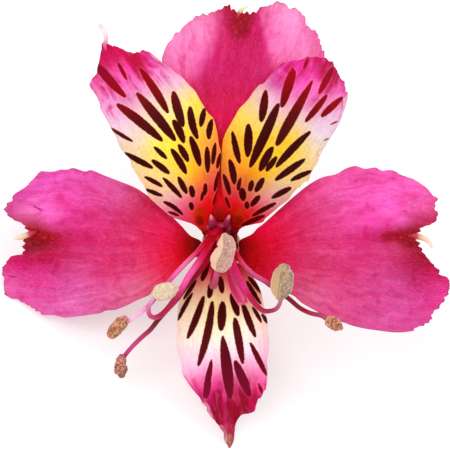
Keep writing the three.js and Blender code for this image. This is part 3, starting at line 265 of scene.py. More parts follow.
# middle lines of the stamens' stalks and the style: x, y, depth
STALKS = {
    "filament_1": [[-0.72,-3.94,-19],[-0.9,-3.04,-14],[-1.07,-2.69,-9],[-1.16,-4.65,-4],[-1.61,-7.7,1],[-2.06,-10.02,5],[-2.11,-10.83,8],[-1.88,-10.38,10.8],[-1.56,-9.13,12.6],[-1.4,-7.88,14.0],[-1.2,-6.98,14.8]],
    "filament_2": [[0.0,-2.69,-19],[-0.18,-2.33,-14],[-0.18,-2.33,-9],[0.36,-4.3,-4.5],[1.43,-6.98,0],[2.69,-9.84,4],[4.47,-12.89,8.5],[5.73,-14.5,11],[6.98,-15.39,13],[8.05,-15.39,14],[9.13,-15.04,14.5],[9.84,-13.96,15],[10.02,-12.89,15.2]],
    "filament_3": [[-1.43,-2.69,-19],[-1.61,-2.15,-14],[-1.88,-1.79,-9],[-2.69,-3.31,-4.5],[-4.12,-5.73,0],[-6.62,-9.4,5],[-7.88,-11.63,7],[-10.2,-14.86,10],[-11.63,-16.2,11.5],[-12.71,-16.56,12.5],[-13.51,-16.11,13],[-13.69,-14.95,13.3],[-13.34,-13.96,13.5],[-12.62,-12.89,13.7]],
    "filament_4": [[-2.15,-3.94,-19],[-2.15,-3.22,-14],[-2.42,-2.33,-9],[-3.13,-2.69,-5],[-4.65,-4.47,-1.5],[-7.52,-7.34,2.5],[-9.84,-9.84,5],[-11.63,-11.81,6],[-13.07,-13.78,7],[-15.21,-15.75,8],[-17.27,-17.18,8.5],[-17.63,-17.36,8.6]],
    "filament_5": [[-1.43,-5.19,-19],[-1.61,-3.94,-14],[-1.97,-2.86,-9],[-2.6,-4.47,-6],[-3.58,-6.8,-3],[-5.01,-8.77,-0.5],[-6.8,-10.74,2],[-8.77,-13.42,3],[-10.74,-15.57,2.5],[-11.99,-17.0,2],[-13.42,-18.79,2],[-14.86,-20.05,2],[-17.0,-22.2,2.5],[-18.08,-23.63,3],[-18.29,-24.16,3.1]],
    "filament_6": [[0.72,-3.94,-19],[0.54,-3.04,-14],[0.54,-2.51,-9],[1.61,-4.47,-5.5],[3.04,-6.8,-2],[4.96,-8.77,1.5],[8.05,-10.65,4],[11.28,-13.07,6],[13.42,-14.86,7],[15.21,-15.75,8],[17.36,-16.29,8.5],[18.08,-16.74,8.6]],
    "style": [[0.0,-5.19,-19],[-0.09,-4.12,-14],[-0.18,-3.58,-9],[0.36,-5.55,-5],[1.16,-8.41,-0.5],[2.15,-11.63,3.5],[3.22,-13.69,6]],
}


# ------------------------------------------------------------------ maths
def smooth(a, b, x):
    t = np.clip((np.asarray(x, float) - a) / (b - a), 0, 1)
    return t * t * (3 - 2 * t)


def rotation(q):
    x, y, z, w = q / np.linalg.norm(q)
    return np.array([
        [1 - 2 * (y * y + z * z), 2 * (x * y - z * w), 2 * (x * z + y * w)],
        [2 * (x * y + z * w), 1 - 2 * (x * x + z * z), 2 * (y * z - x * w)],
        [2 * (x * z - y * w), 2 * (y * z + x * w), 1 - 2 * (x * x + y * y)]])


ROT = rotation(TURN)


def seen(x, y, z):
    """A point from its place on the flower's face, as seen from the eye point, and its depth."""
    k = (EYE - z) / EYE
    return np.stack([x * k, y * k, z * np.ones_like(x)], -1)


def place(p):
    """Flower frame in mm to the row's frame in metres, never under the surface."""
    w = (p @ ROT.T + SHIFT) / 1000.0
    w[..., 2] = np.maximum(w[..., 2], 0.00002)
    return w


_d = np.diff(FUNNEL[:, 1]) / np.diff(FUNNEL[:, 0])
_m = np.concatenate([[_d[0]], np.where(_d[:-1] * _d[1:] <= 0, 0, 2 * _d[:-1] * _d[1:] / (_d[:-1] + _d[1:] + 1e-12)), [_d[-1]]])


def funnel(r):
    r = np.maximum(r, FUNNEL[0, 0])
    i = np.clip(np.searchsorted(FUNNEL[:, 0], r) - 1, 0, len(FUNNEL) - 2)
    x0, y0, x1, y1 = FUNNEL[i, 0], FUNNEL[i, 1], FUNNEL[i + 1, 0], FUNNEL[i + 1, 1]
    h = x1 - x0
    t = (r - x0) / h
    return ((2 * t**3 - 3 * t**2 + 1) * y0 + (t**3 - 2 * t**2 + t) * h * _m[i]
            + (-2 * t**3 + 3 * t**2) * y1 + (t**3 - t**2) * h * _m[i + 1])


def _hash(ix, iy, seed):
    h = (ix.astype(np.int64) * 374761393 + iy.astype(np.int64) * 668265263 + seed * 1442695041) & 0xFFFFFFFF
    h = ((h ^ (h >> 13)) * 1274126177) & 0xFFFFFFFF
    return ((h ^ (h >> 16)) & 0xFFFF) / 65535.0


def noise(x, y, seed=0):
    """Smooth value noise, -1 to 1."""
    x, y = np.broadcast_arrays(np.asarray(x, float), np.asarray(y, float))
    ix, iy = np.floor(x), np.floor(y)
    fx, fy = x - ix, y - iy
    fx, fy = fx**3 * (fx * (fx * 6 - 15) + 10), fy**3 * (fy * (fy * 6 - 15) + 10)
    a, b = _hash(ix, iy, seed), _hash(ix + 1, iy, seed)
    c, d = _hash(ix, iy + 1, seed), _hash(ix + 1, iy + 1, seed)
    return 2 * ((a * (1 - fx) + b * fx) * (1 - fy) + (c * (1 - fx) + d * fx) * fy) - 1


def spline(points, n, power=0.5):
    """n + 1 points evenly spaced along a centripetal Catmull-Rom curve."""
    p = np.asarray(points, float)
    keep = np.concatenate([[True], np.linalg.norm(np.diff(p, axis=0), axis=1) > 1e-6])
    p = p[keep]
    q = np.vstack([2 * p[0] - p[1], p, 2 * p[-1] - p[-2]])
    t = np.concatenate([[0], np.cumsum(np.maximum(np.linalg.norm(np.diff(q, axis=0), axis=1), 1e-6) ** power)])
    out = []
    for i in range(1, len(q) - 2):
        s = np.linspace(t[i], t[i + 1], 24, endpoint=False)[:, None]
        a1 = (t[i] - s) / (t[i] - t[i - 1]) * q[i - 1] + (s - t[i - 1]) / (t[i] - t[i - 1]) * q[i]
        a2 = (t[i + 1] - s) / (t[i + 1] - t[i]) * q[i] + (s - t[i]) / (t[i + 1] - t[i]) * q[i + 1]
        a3 = (t[i + 2] - s) / (t[i + 2] - t[i + 1]) * q[i + 1] + (s - t[i + 1]) / (t[i + 2] - t[i + 1]) * q[i + 2]
        b1 = (t[i + 1] - s) / (t[i + 1] - t[i - 1]) * a1 + (s - t[i - 1]) / (t[i + 1] - t[i - 1]) * a2
        b2 = (t[i + 2] - s) / (t[i + 2] - t[i]) * a2 + (s - t[i]) / (t[i + 2] - t[i]) * a3
        out.append((t[i + 1] - s) / (t[i + 1] - t[i]) * b1 + (s - t[i]) / (t[i + 1] - t[i]) * b2)
    out = np.vstack(out + [p[-1:]])
    length = np.concatenate([[0], np.cumsum(np.linalg.norm(np.diff(out, axis=0), axis=1))])
    s = np.linspace(0, length[-1], n + 1)
    return np.stack([np.interp(s, length, out[:, k]) for k in range(out.shape[1])], 1)


def linear(c):
    c = np.asarray(c, float) / 255.0
    return np.where(c <= 0.04045, c / 12.92, ((c + 0.055) / 1.055) ** 2.4)


def unit(v):
    return v / np.maximum(np.linalg.norm(v, axis=-1, keepdims=True), 1e-12)


# ------------------------------------------------------------------ meshes
def make(name, verts, faces, uvs=None, attrs=None, material=None, body="root", flower=True):
    """A smooth mesh object. uvs holds one pair per face corner, attrs maps a name to one value per vertex."""
    mesh = bpy.data.meshes.new(name)
    v = place(verts) if flower else verts
    faces = np.asarray(faces)
    mesh.vertices.add(len(v))
    mesh.vertices.foreach_set("co", v.astype(np.float32).ravel())
    quads = faces.shape[1]
    mesh.loops.add(faces.size)
    mesh.loops.foreach_set("vertex_index", faces.astype(np.int32).ravel())
    mesh.polygons.add(len(faces))
    mesh.polygons.foreach_set("loop_start", (np.arange(len(faces)) * quads).astype(np.int32))
    mesh.polygons.foreach_set("loop_total", np.full(len(faces), quads, np.int32))
    mesh.polygons.foreach_set("use_smooth", np.ones(len(faces), bool))
    mesh.update(calc_edges=True)
    if uvs is not None:
        layer = mesh.uv_layers.new(name="OFBake")
        layer.data.foreach_set("uv", np.asarray(uvs, np.float32).ravel())
    for key, value in (attrs or {}).items():
        value = np.asarray(value, np.float32)
        if value.ndim == 1:
            mesh.attributes.new(key, "FLOAT", "POINT").data.foreach_set("value", value)
        elif key.startswith("tint"):
            a = mesh.attributes.new(key, "FLOAT_COLOR", "POINT")
            a.data.foreach_set("color", np.hstack([value, np.ones((len(value), 1), np.float32)]).ravel())
        else:
            mesh.attributes.new(key, "FLOAT_VECTOR", "POINT").data.foreach_set("vector", value.ravel())
    mesh.validate()
    obj = bpy.data.objects.new(name, mesh)
    bpy.context.scene.collection.objects.link(obj)
    if material is not None:
        mesh.materials.append(material)
    if body:
        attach(obj, body)
    return obj


def grid_faces(nu, nv, offset=0, wrap=False, flip=False):
    """Quads of a grid with nu x nv vertices."""
    i, j = np.meshgrid(np.arange(nu - 1), np.arange(nv if wrap else nv - 1), indexing="ij")
    jn = (j + 1) % nv
    a, b, c, d = i * nv + j, i * nv + jn, (i + 1) * nv + jn, (i + 1) * nv + j
    f = np.stack([a, b, c, d] if not flip else [a, d, c, b], -1).reshape(-1, 4) + offset
    return f, i.ravel(), j.ravel()


def tube(name, path, radius, tint, material, sides=20, steps=90, lobes=None, slot=None, cap=1.0, extra=None):
    """A stalk with rounded ends along a path of (x, y, depth). radius and tint are given at shares of the path; lobes
    shapes its section, and tint may be a function of the angle round it and the share along it."""
    line = spline(seen(*np.asarray(path, float).T), steps)
    s = np.linspace(0, 1, steps + 1)
    r = np.interp(s, [k[0] for k in radius], [k[1] for k in radius])
    tang = unit(np.gradient(line, axis=0))
    ref = np.array([0.0, 0.0, 1.0]) if abs(tang[0][2]) < 0.9 else np.array([0.0, 1.0, 0.0])
    n = unit(ref - tang[0] * (ref @ tang[0]))
    normals = [n]
    for k in range(1, len(line)):
        n = unit(n - tang[k] * (n @ tang[k]))
        normals.append(n)
    normals = np.array(normals)
    binormals = np.cross(tang, normals)
    length = np.linalg.norm(np.diff(line, axis=0), axis=1).sum()
    ang = np.linspace(0, 2 * np.pi, sides, endpoint=False)
    if not callable(tint):
        stops = tint

        def tint(a, at):
            c = [np.interp(at, [k[0] for k in stops], [linear(k[1])[x] for k in stops]) for x in range(3)]
            return np.stack([x + 0 * a for x in c], 1)
    rings, cols, arc, dust = [], [], [], []
    ends = np.linspace(0, np.pi / 2, 8)
    order = [(0, -1, math.cos(e), math.sin(e)) for e in ends[:0:-1]] + [(k, 0, 1.0, 0.0) for k in range(len(line))] \
        + [(len(line) - 1, 1, math.cos(e), math.sin(e)) for e in ends[1:]]
    for k, side, shrink, push in order:
        shrink = max(shrink, 0.03)
        rad = r[k] * shrink * (lobes(ang, s[k]) if lobes else np.ones_like(ang))
        centre = line[k] + tang[k] * side * push * r[k] * cap
        rings.append(centre + rad[:, None] * (np.cos(ang)[:, None] * normals[k] + np.sin(ang)[:, None] * binormals[k]))
        cols.append(tint(ang, s[k]))
        dust.append((extra(ang, s[k]) if extra else np.ones_like(ang)) + 0 * ang)
        arc.append(np.stack([np.full(sides, s[k] * length), np.cos(ang), np.sin(ang)], 1))
    nu = len(rings)
    verts = np.vstack(rings)
    faces, fi, fj = grid_faces(nu, sides, wrap=True)
    u = np.stack([fi, fi, fi + 1, fi + 1], 1) / (nu - 1)
    w = np.stack([fj, fj + 1, fj + 1, fj], 1) / sides
    uv = np.stack([0.01 + 0.98 * u, 0.01 + 0.90 * w], -1)
    first, last = len(verts), len(verts) + 1
    verts = np.vstack([verts, rings[0].mean(0), rings[-1].mean(0)])
    cols = np.vstack(cols + [cols[0][:1], cols[-1][:1]])
    arc = np.vstack(arc + [arc[0][:1], arc[-1][:1]])
    dust = np.concatenate(dust + [dust[0][:1], dust[-1][:1]])
    # faces that turn outwards
    mid = nu // 2 * sides
    a, b, d = verts[mid], verts[mid + 1], verts[mid + sides]
    out = np.cross(b - a, d - a) @ (a - rings[nu // 2].mean(0)) > 0
    j = np.arange(sides)
    tri0 = np.stack([np.full(sides, first), (j + 1) % sides, j], 1)
    tri1 = np.stack([np.full(sides, last), (nu - 1) * sides + j, (nu - 1) * sides + (j + 1) % sides], 1)
    if not out:
        faces, uv = faces[:, ::-1], uv[:, ::-1]
    else:
        tri0, tri1 = tri0[:, ::-1], tri1[:, ::-1]
    return mixed(name, verts, faces, uv, np.vstack([tri0, tri1]), sides, material, {"tint": cols, "grain": arc, "dust": dust}, slot)


def mixed(name, verts, quads, quad_uv, tris, sides, material, attrs, slot=None):
    """A mesh of quads plus closing triangles, the triangles laid out in a strip of their own."""
    mesh = bpy.data.meshes.new(name)
    v = place(np.asarray(verts))
    mesh.vertices.add(len(v))
    mesh.vertices.foreach_set("co", v.astype(np.float32).ravel())
    loops = np.concatenate([quads.ravel(), tris.ravel()])
    mesh.loops.add(len(loops))
    mesh.loops.foreach_set("vertex_index", loops.astype(np.int32))
    starts = np.concatenate([np.arange(len(quads)) * 4, len(quads) * 4 + np.arange(len(tris)) * 3])
    totals = np.concatenate([np.full(len(quads), 4), np.full(len(tris), 3)])
    mesh.polygons.add(len(starts))
    mesh.polygons.foreach_set("loop_start", starts.astype(np.int32))
    mesh.polygons.foreach_set("loop_total", totals.astype(np.int32))
    mesh.polygons.foreach_set("use_smooth", np.ones(len(starts), bool))
    mesh.update(calc_edges=True)
    layer = mesh.uv_layers.new(name="OFBake")
    k = np.arange(len(tris))
    half = len(tris) // 2
    cx = np.where(k < half, 0.25, 0.75)
    a0 = 2 * np.pi * (k % half) / half
    a1 = 2 * np.pi * ((k % half) + 1) / half
    tuv = np.stack([np.stack([cx, np.full(len(k), 0.96)], 1),
                    np.stack([cx + 0.03 * np.cos(a0), 0.96 + 0.03 * np.sin(a0)], 1),
                    np.stack([cx + 0.03 * np.cos(a1), 0.96 + 0.03 * np.sin(a1)], 1)], 1)
    layer.data.foreach_set("uv", np.concatenate([quad_uv.reshape(-1, 2), tuv.reshape(-1, 2)]).astype(np.float32).ravel())
    for key, value in attrs.items():
        value = np.asarray(value, np.float32)
        if value.ndim == 1:
            mesh.attributes.new(key, "FLOAT", "POINT").data.foreach_set("value", value)
        elif key.startswith("tint"):
            a = mesh.attributes.new(key, "FLOAT_COLOR", "POINT")
            a.data.foreach_set("color", np.hstack([value, np.ones((len(value), 1), np.float32)]).ravel())
        else:
            mesh.attributes.new(key, "FLOAT_VECTOR", "POINT").data.foreach_set("vector", value.ravel())
    mesh.validate()
    obj = bpy.data.objects.new(name, mesh)
    bpy.context.scene.collection.objects.link(obj)
    mesh.materials.append(material)
    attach(obj, "root")
    return obj


# ------------------------------------------------------------------ materials
class Nodes:
    """A short way to write a node tree."""

    def __init__(self, name):
        self.mat = bpy.data.materials.new(name)
        self.mat.use_nodes = True
        self.tree = self.mat.node_tree
        self.shader = self.tree.nodes["Principled BSDF"]

    def add(self, kind, inputs=None, **props):
        node = self.tree.nodes.new(kind)
        for key, value in props.items():
            setattr(node, key, value)
        for key, value in (inputs or {}).items():
            self.set(node.inputs[key], value)
        return node

    def set(self, socket, value):
        if isinstance(value, bpy.types.NodeSocket):
            self.tree.links.new(value, socket)
        else:
            socket.default_value = value

    def attr(self, name, out="Fac"):
        return self.add("ShaderNodeAttribute", attribute_name=name).outputs[out]

    def math(self, op, a, b=0.0, c=0.0, clamp=False):
        n = self.add("ShaderNodeMath", operation=op, use_clamp=clamp)
        for k, value in enumerate((a, b, c)):
            self.set(n.inputs[k], value)
        return n.outputs[0]

    def vmath(self, op, a, b=(0, 0, 0)):
        n = self.add("ShaderNodeVectorMath", operation=op)
        self.set(n.inputs[0], a)
        self.set(n.inputs[1], b)
        return n.outputs[0]

    def step(self, value, low, high, to_low=0.0, to_high=1.0):
        n = self.add("ShaderNodeMapRange", interpolation_type="SMOOTHSTEP")
        for key, v in zip(("Value", "From Min", "From Max", "To Min", "To Max"), (value, low, high, to_low, to_high)):
            self.set(n.inputs[key], v)
        return n.outputs["Result"]

    def noise(self, vector, scale, detail=3.0, rough=0.55, distort=0.0):
        n = self.add("ShaderNodeTexNoise", {"Vector": vector, "Scale": scale, "Detail": detail, "Roughness": rough, "Distortion": distort})
        return n.outputs["Fac"]

    def mix(self, fac, a, b, mode="MIX"):
        n = self.add("ShaderNodeMix", data_type="RGBA", blend_type=mode)
        self.set(n.inputs["Factor"], fac)
        self.set(n.inputs[6], a)
        self.set(n.inputs[7], b)
        return n.outputs[2]

    def bump(self, height, strength, distance, normal=None):
        n = self.add("ShaderNodeBump", {"Height": height, "Strength": strength, "Distance": distance})
        if normal is not None:
            self.set(n.inputs["Normal"], normal)
        return n.outputs["Normal"]

    def finish(self, **inputs):
        for key, value in inputs.items():
            self.set(self.shader.inputs[key.replace("_", " ")], value)
        return self.mat


def rgba(c):
    return (*[float(v) for v in linear(c)], 1.0)

def tepal_material(name, rough=0.48, marks=True, sparks=0.3, blotches=0.35):
    m = Nodes(name)
    vein = m.attr("vein", "Vector")
    tint = m.attr("tint", "Color")
    place_ = m.add("ShaderNodeTexCoord").outputs["Object"]
    fine = m.noise(m.vmath("MULTIPLY", vein, (8.0, 115.0, 1.0)), 1.0, 2.0, 0.6)
    broad = m.noise(m.vmath("MULTIPLY", vein, (3.0, 36.0, 1.0)), 1.0, 2.0, 0.5, 0.3)
    mottle = m.noise(place_, 700.0, 3.0, 0.6)
    cells = m.noise(place_, 3600.0, 2.0, 0.6)
    # brighter and darker streaks between the veins, soft blotches and the sparkle of single cells
    value = m.math("ADD", m.math("MULTIPLY", m.math("SUBTRACT", fine, 0.5), 0.50), 1.0)
    value = m.math("ADD", value, m.math("MULTIPLY", m.math("SUBTRACT", broad, 0.5), 0.34))
    value = m.math("ADD", value, m.math("MULTIPLY", m.math("SUBTRACT", mottle, 0.5), 0.34))
    value = m.math("ADD", value, m.math("MULTIPLY", m.math("SUBTRACT", cells, 0.5), 0.46))
    scaled = m.add("ShaderNodeVectorMath", operation="SCALE")
    m.set(scaled.inputs[0], tint)
    m.set(scaled.inputs["Scale"], value)
    colour = scaled.outputs[0]
    # the shine of raised cells, in short rows along the veins
    rows = m.noise(m.vmath("MULTIPLY", vein, (46.0, 210.0, 1.0)), 1.0, 2.0, 0.7)
    sparkle = m.math("MULTIPLY", m.step(rows, 0.48, 0.80), sparks)
    colour = m.mix(sparkle, colour, m.mix(0.20, m.vmath("MULTIPLY", tint, (1.4, 2.0, 1.6)), rgba((255, 196, 226))))
    # the veins and some blotches lean towards a deeper hue
    deep = m.add("ShaderNodeGamma", {"Gamma": 1.4})
    m.set(deep.inputs["Color"], colour)
    blotch = m.math("MULTIPLY", m.step(m.noise(place_, 330.0, 4.0, 0.65, 0.4), 0.50, 0.66), blotches)
    colour = m.mix(m.math("MULTIPLY", m.step(fine, 0.50, 0.70), 0.42), colour, deep.outputs[0])
    colour = m.mix(blotch, colour, deep.outputs[0])
    if marks:
        edge = m.attr("dash")
        wobble = m.math("MULTIPLY", m.math("SUBTRACT", m.noise(place_, 2600.0, 2.0), 0.5), 0.22)
        edge = m.math("ADD", edge, wobble)
        halo = m.math("MULTIPLY", m.step(edge, 0.12, 0.50, 1.0, 0.0), 0.30)
        colour = m.mix(halo, colour, m.attr("tint_halo", "Color"))
        mask = m.math("MULTIPLY", m.step(edge, -0.06, 0.13, 1.0, 0.0), m.attr("dash_strength"))
        ink = m.add("ShaderNodeVectorMath", operation="SCALE")
        m.set(ink.inputs[0], m.attr("tint_dash", "Color"))
        m.set(ink.inputs["Scale"], m.math("ADD", m.math("MULTIPLY", m.math("SUBTRACT", fine, 0.5), 0.7), 0.9))
        glow = m.vmath("MULTIPLY", m.attr("tint_dash", "Color"), (1.6, 2.0, 1.6))
        colour = m.mix(mask, colour, m.mix(m.step(edge, -0.14, 0.06), ink.outputs[0], glow))
    ridges = m.math("ADD", m.math("MULTIPLY", fine, 0.55), m.math("MULTIPLY", broad, 0.9))
    ridges = m.math("ADD", ridges, m.math("MULTIPLY", cells, 0.25))
    gloss = m.math("ADD", m.math("MULTIPLY", m.math("SUBTRACT", mottle, 0.5), 0.25),
                   m.math("ADD", m.math("MULTIPLY", m.math("SUBTRACT", fine, 0.5), 0.2), rough))
    return m.finish(Base_Color=colour, Roughness=gloss, Normal=m.bump(ridges, 0.55, 0.00012), Specular_IOR_Level=0.05,
                    Subsurface_Weight=0.06, Subsurface_Radius=(0.0012, 0.0005, 0.0005),
                    Subsurface_Scale=1.0)


def stalk_material(name, rough=0.32, streak=0.35):
    m = Nodes(name)
    grain = m.attr("grain", "Vector")
    tint = m.attr("tint", "Color")
    place_ = m.add("ShaderNodeTexCoord").outputs["Object"]
    lines = m.noise(m.vmath("MULTIPLY", grain, (0.35, 5.5, 5.5)), 1.0, 2.5, 0.6)
    spots = m.noise(place_, 1500.0, 3.0, 0.6)
    cells = m.noise(place_, 5200.0, 1.0)
    value = m.math("ADD", m.math("MULTIPLY", m.math("SUBTRACT", lines, 0.5), streak), 1.0)
    value = m.math("ADD", value, m.math("MULTIPLY", m.math("SUBTRACT", spots, 0.5), 0.25))
    scaled = m.add("ShaderNodeVectorMath", operation="SCALE")
    m.set(scaled.inputs[0], tint)
    m.set(scaled.inputs["Scale"], value)
    deep = m.add("ShaderNodeGamma", {"Gamma": 1.4})
    m.set(deep.inputs["Color"], scaled.outputs[0])
    colour = m.mix(m.math("MULTIPLY", m.step(lines, 0.5, 0.72), 0.5), scaled.outputs[0], deep.outputs[0])
    height = m.math("ADD", m.math("MULTIPLY", lines, 0.8), m.math("MULTIPLY", cells, 0.3))
    gloss = m.math("ADD", m.math("MULTIPLY", m.math("SUBTRACT", spots, 0.5), 0.25), rough)
    return m.finish(Base_Color=colour, Roughness=gloss, Normal=m.bump(height, 0.5, 0.0001), Specular_IOR_Level=0.22,
                    Subsurface_Weight=0.12, Subsurface_Radius=(0.001, 0.0004, 0.0004), Subsurface_Scale=1.0)


def pollen_material(name, grain_scale=4200.0, speckle=0.5, relief=0.00012, rough=0.8):
    m = Nodes(name)
    tint = m.attr("tint", "Color")
    dusty = m.attr("dust")
    place_ = m.add("ShaderNodeTexCoord").outputs["Object"]
    cells = m.add("ShaderNodeTexVoronoi", {"Vector": place_, "Scale": grain_scale, "Randomness": 1.0}, feature="F1").outputs["Distance"]
    clumps = m.noise(place_, grain_scale * 0.35, 3.0, 0.65)
    value = m.math("ADD", m.math("MULTIPLY", m.math("SUBTRACT", clumps, 0.5), speckle), 1.0)
    # painted shade: darker in the low gaps between the pollen grains
    grain_gap_shade = m.math("MULTIPLY", m.step(cells, 0.35, 0.75), m.math("MULTIPLY", dusty, 0.30))
    value = m.math("SUBTRACT", value, grain_gap_shade)
    scaled = m.add("ShaderNodeVectorMath", operation="SCALE")
    m.set(scaled.inputs[0], tint)
    m.set(scaled.inputs["Scale"], value)
    glint = m.math("MULTIPLY", m.step(m.noise(place_, grain_scale * 0.6, 2.0, 0.6, 0.2), 0.56, 0.68), m.math("MULTIPLY", dusty, 0.42))
    colour = m.mix(glint, scaled.outputs[0], rgba((246, 234, 222)))
    height = m.math("ADD", m.math("MULTIPLY", m.math("SUBTRACT", 1.0, cells), m.math("MULTIPLY", dusty, 0.8)), m.math("MULTIPLY", clumps, 0.7))
    gloss = m.math("ADD", m.math("MULTIPLY", dusty, 0.35), m.math("MULTIPLY", clumps, 0.15))
    gloss = m.math("ADD", gloss, rough - 0.35)
    return m.finish(Base_Color=colour, Roughness=gloss, Normal=m.bump(height, 0.7, relief), Specular_IOR_Level=0.25,
                    Sheen_Weight=0.2, Sheen_Roughness=0.6)


# ------------------------------------------------------------------ tepals
def blend_stops(stops, xy, soft=0.6):
    """Colour (0-255) at xy from scattered stops: a smooth surface through them, held between its nearest stops."""
    s = np.asarray(stops, float)
    p, c = s[:, :2], s[:, 2:5]
    n = len(p)
    phi = lambda d2: np.sqrt(d2 + soft * soft)
    d2 = ((p[:, None] - p[None]) ** 2).sum(-1)
    a = np.zeros((n + 1, n + 1))
    a[:n, :n] = phi(d2) - np.eye(n) * 0.25
    a[:n, n] = a[n, :n] = 1
    w = np.linalg.solve(a, np.vstack([c, np.zeros((1, 3))]))
    flat = xy.reshape(-1, 2)
    out = np.empty((len(flat), 3))
    for k in range(0, len(flat), 8000):
        q = flat[k:k + 8000]
        d2 = ((q[:, None] - p[None]) ** 2).sum(-1)
        value = phi(d2) @ w[:n] + w[n]
        near = c[np.argsort(d2, 1)[:, :5]]
        out[k:k + 8000] = np.clip(value, near.min(1) - 10, near.max(1) + 10)
    return np.clip(out, 0, 255).reshape(*xy.shape[:-1], 3)


def stroke_mask(xy, x0, y0, x1, y1, w0, w1, soft, bend=0.0):
    """1 along a tapered line, fading to 0 over soft."""
    best = np.full(xy.shape[:-1], 9.0)
    d = np.array([x1 - x0, y1 - y0])
    side = np.array([-d[1], d[0]]) / (np.linalg.norm(d) + 1e-9)
    for t in np.linspace(0, 1, 17):
        c = np.array([x0, y0]) + d * t + side * bend * 4 * t * (1 - t)
        best = np.minimum(best, np.hypot(xy[..., 0] - c[0], xy[..., 1] - c[1]) - (w0 + (w1 - w0) * t) / 2)
    return smooth(soft, -soft * 0.3, best)


def dash_field(dashes, xy):
    """Distance to the nearest dash's edge (inside is negative) and that dash's colour."""
    flat = xy.reshape(-1, 2)
    dist = np.full(len(flat), 3.0)
    weight = np.zeros(len(flat))
    ink = np.zeros((len(flat), 3))
    for x0, y0, x1, y1, w, bend, peak, r, g, b in dashes:
        d = np.array([x1 - x0, y1 - y0])
        length = np.linalg.norm(d)
        side = np.array([-d[1], d[0]]) / (length + 1e-9)
        reach = length / 2 + w + 1.2
        near = np.hypot(*(flat - (np.array([x0, y0]) + d / 2)).T) < reach
        q = flat[near]
        best = np.full(len(q), 3.0)
        power = math.log(0.5) / math.log(min(max(peak, 0.3), 0.7))
        for t in np.linspace(0.02, 0.98, max(9, int(length / 0.12))):
            c = np.array([x0, y0]) + d * t + side * bend * 4 * t * (1 - t)
            radius = w / 2 * math.sin(math.pi * t ** power) ** 0.42
            best = np.minimum(best, np.hypot(q[:, 0] - c[0], q[:, 1] - c[1]) - radius)
        k = np.exp(-np.clip(best, -0.5, 2) / 0.18)
        ink[near] += k[:, None] * np.array([r, g, b], float)
        weight[near] += k
        dist[near] = np.minimum(dist[near], best)
    ink = ink / np.maximum(weight, 1e-9)[:, None]
    ink[weight < 1e-6] = (80, 5, 8)
    return dist.reshape(xy.shape[:-1]), ink.reshape(*xy.shape[:-1], 3)


# colour of the dashes by distance from the throat, in fifths of a millimetre or so
INKS = {
    "upper": ([25, 55, 110, 132, 150, 166, 184, 215], [(104, 1, 1), (68, 1, 1), (56, 0, 0), (58, 0, 0), (82, 0, 0), (124, 0, 2), (156, 0, 16), (140, 2, 44)]),
    "lower": ([15, 45, 80, 110, 140, 175], [(98, 1, 1), (64, 1, 1), (72, 2, 3), (94, 3, 18), (122, 4, 42), (146, 4, 54)]),
}


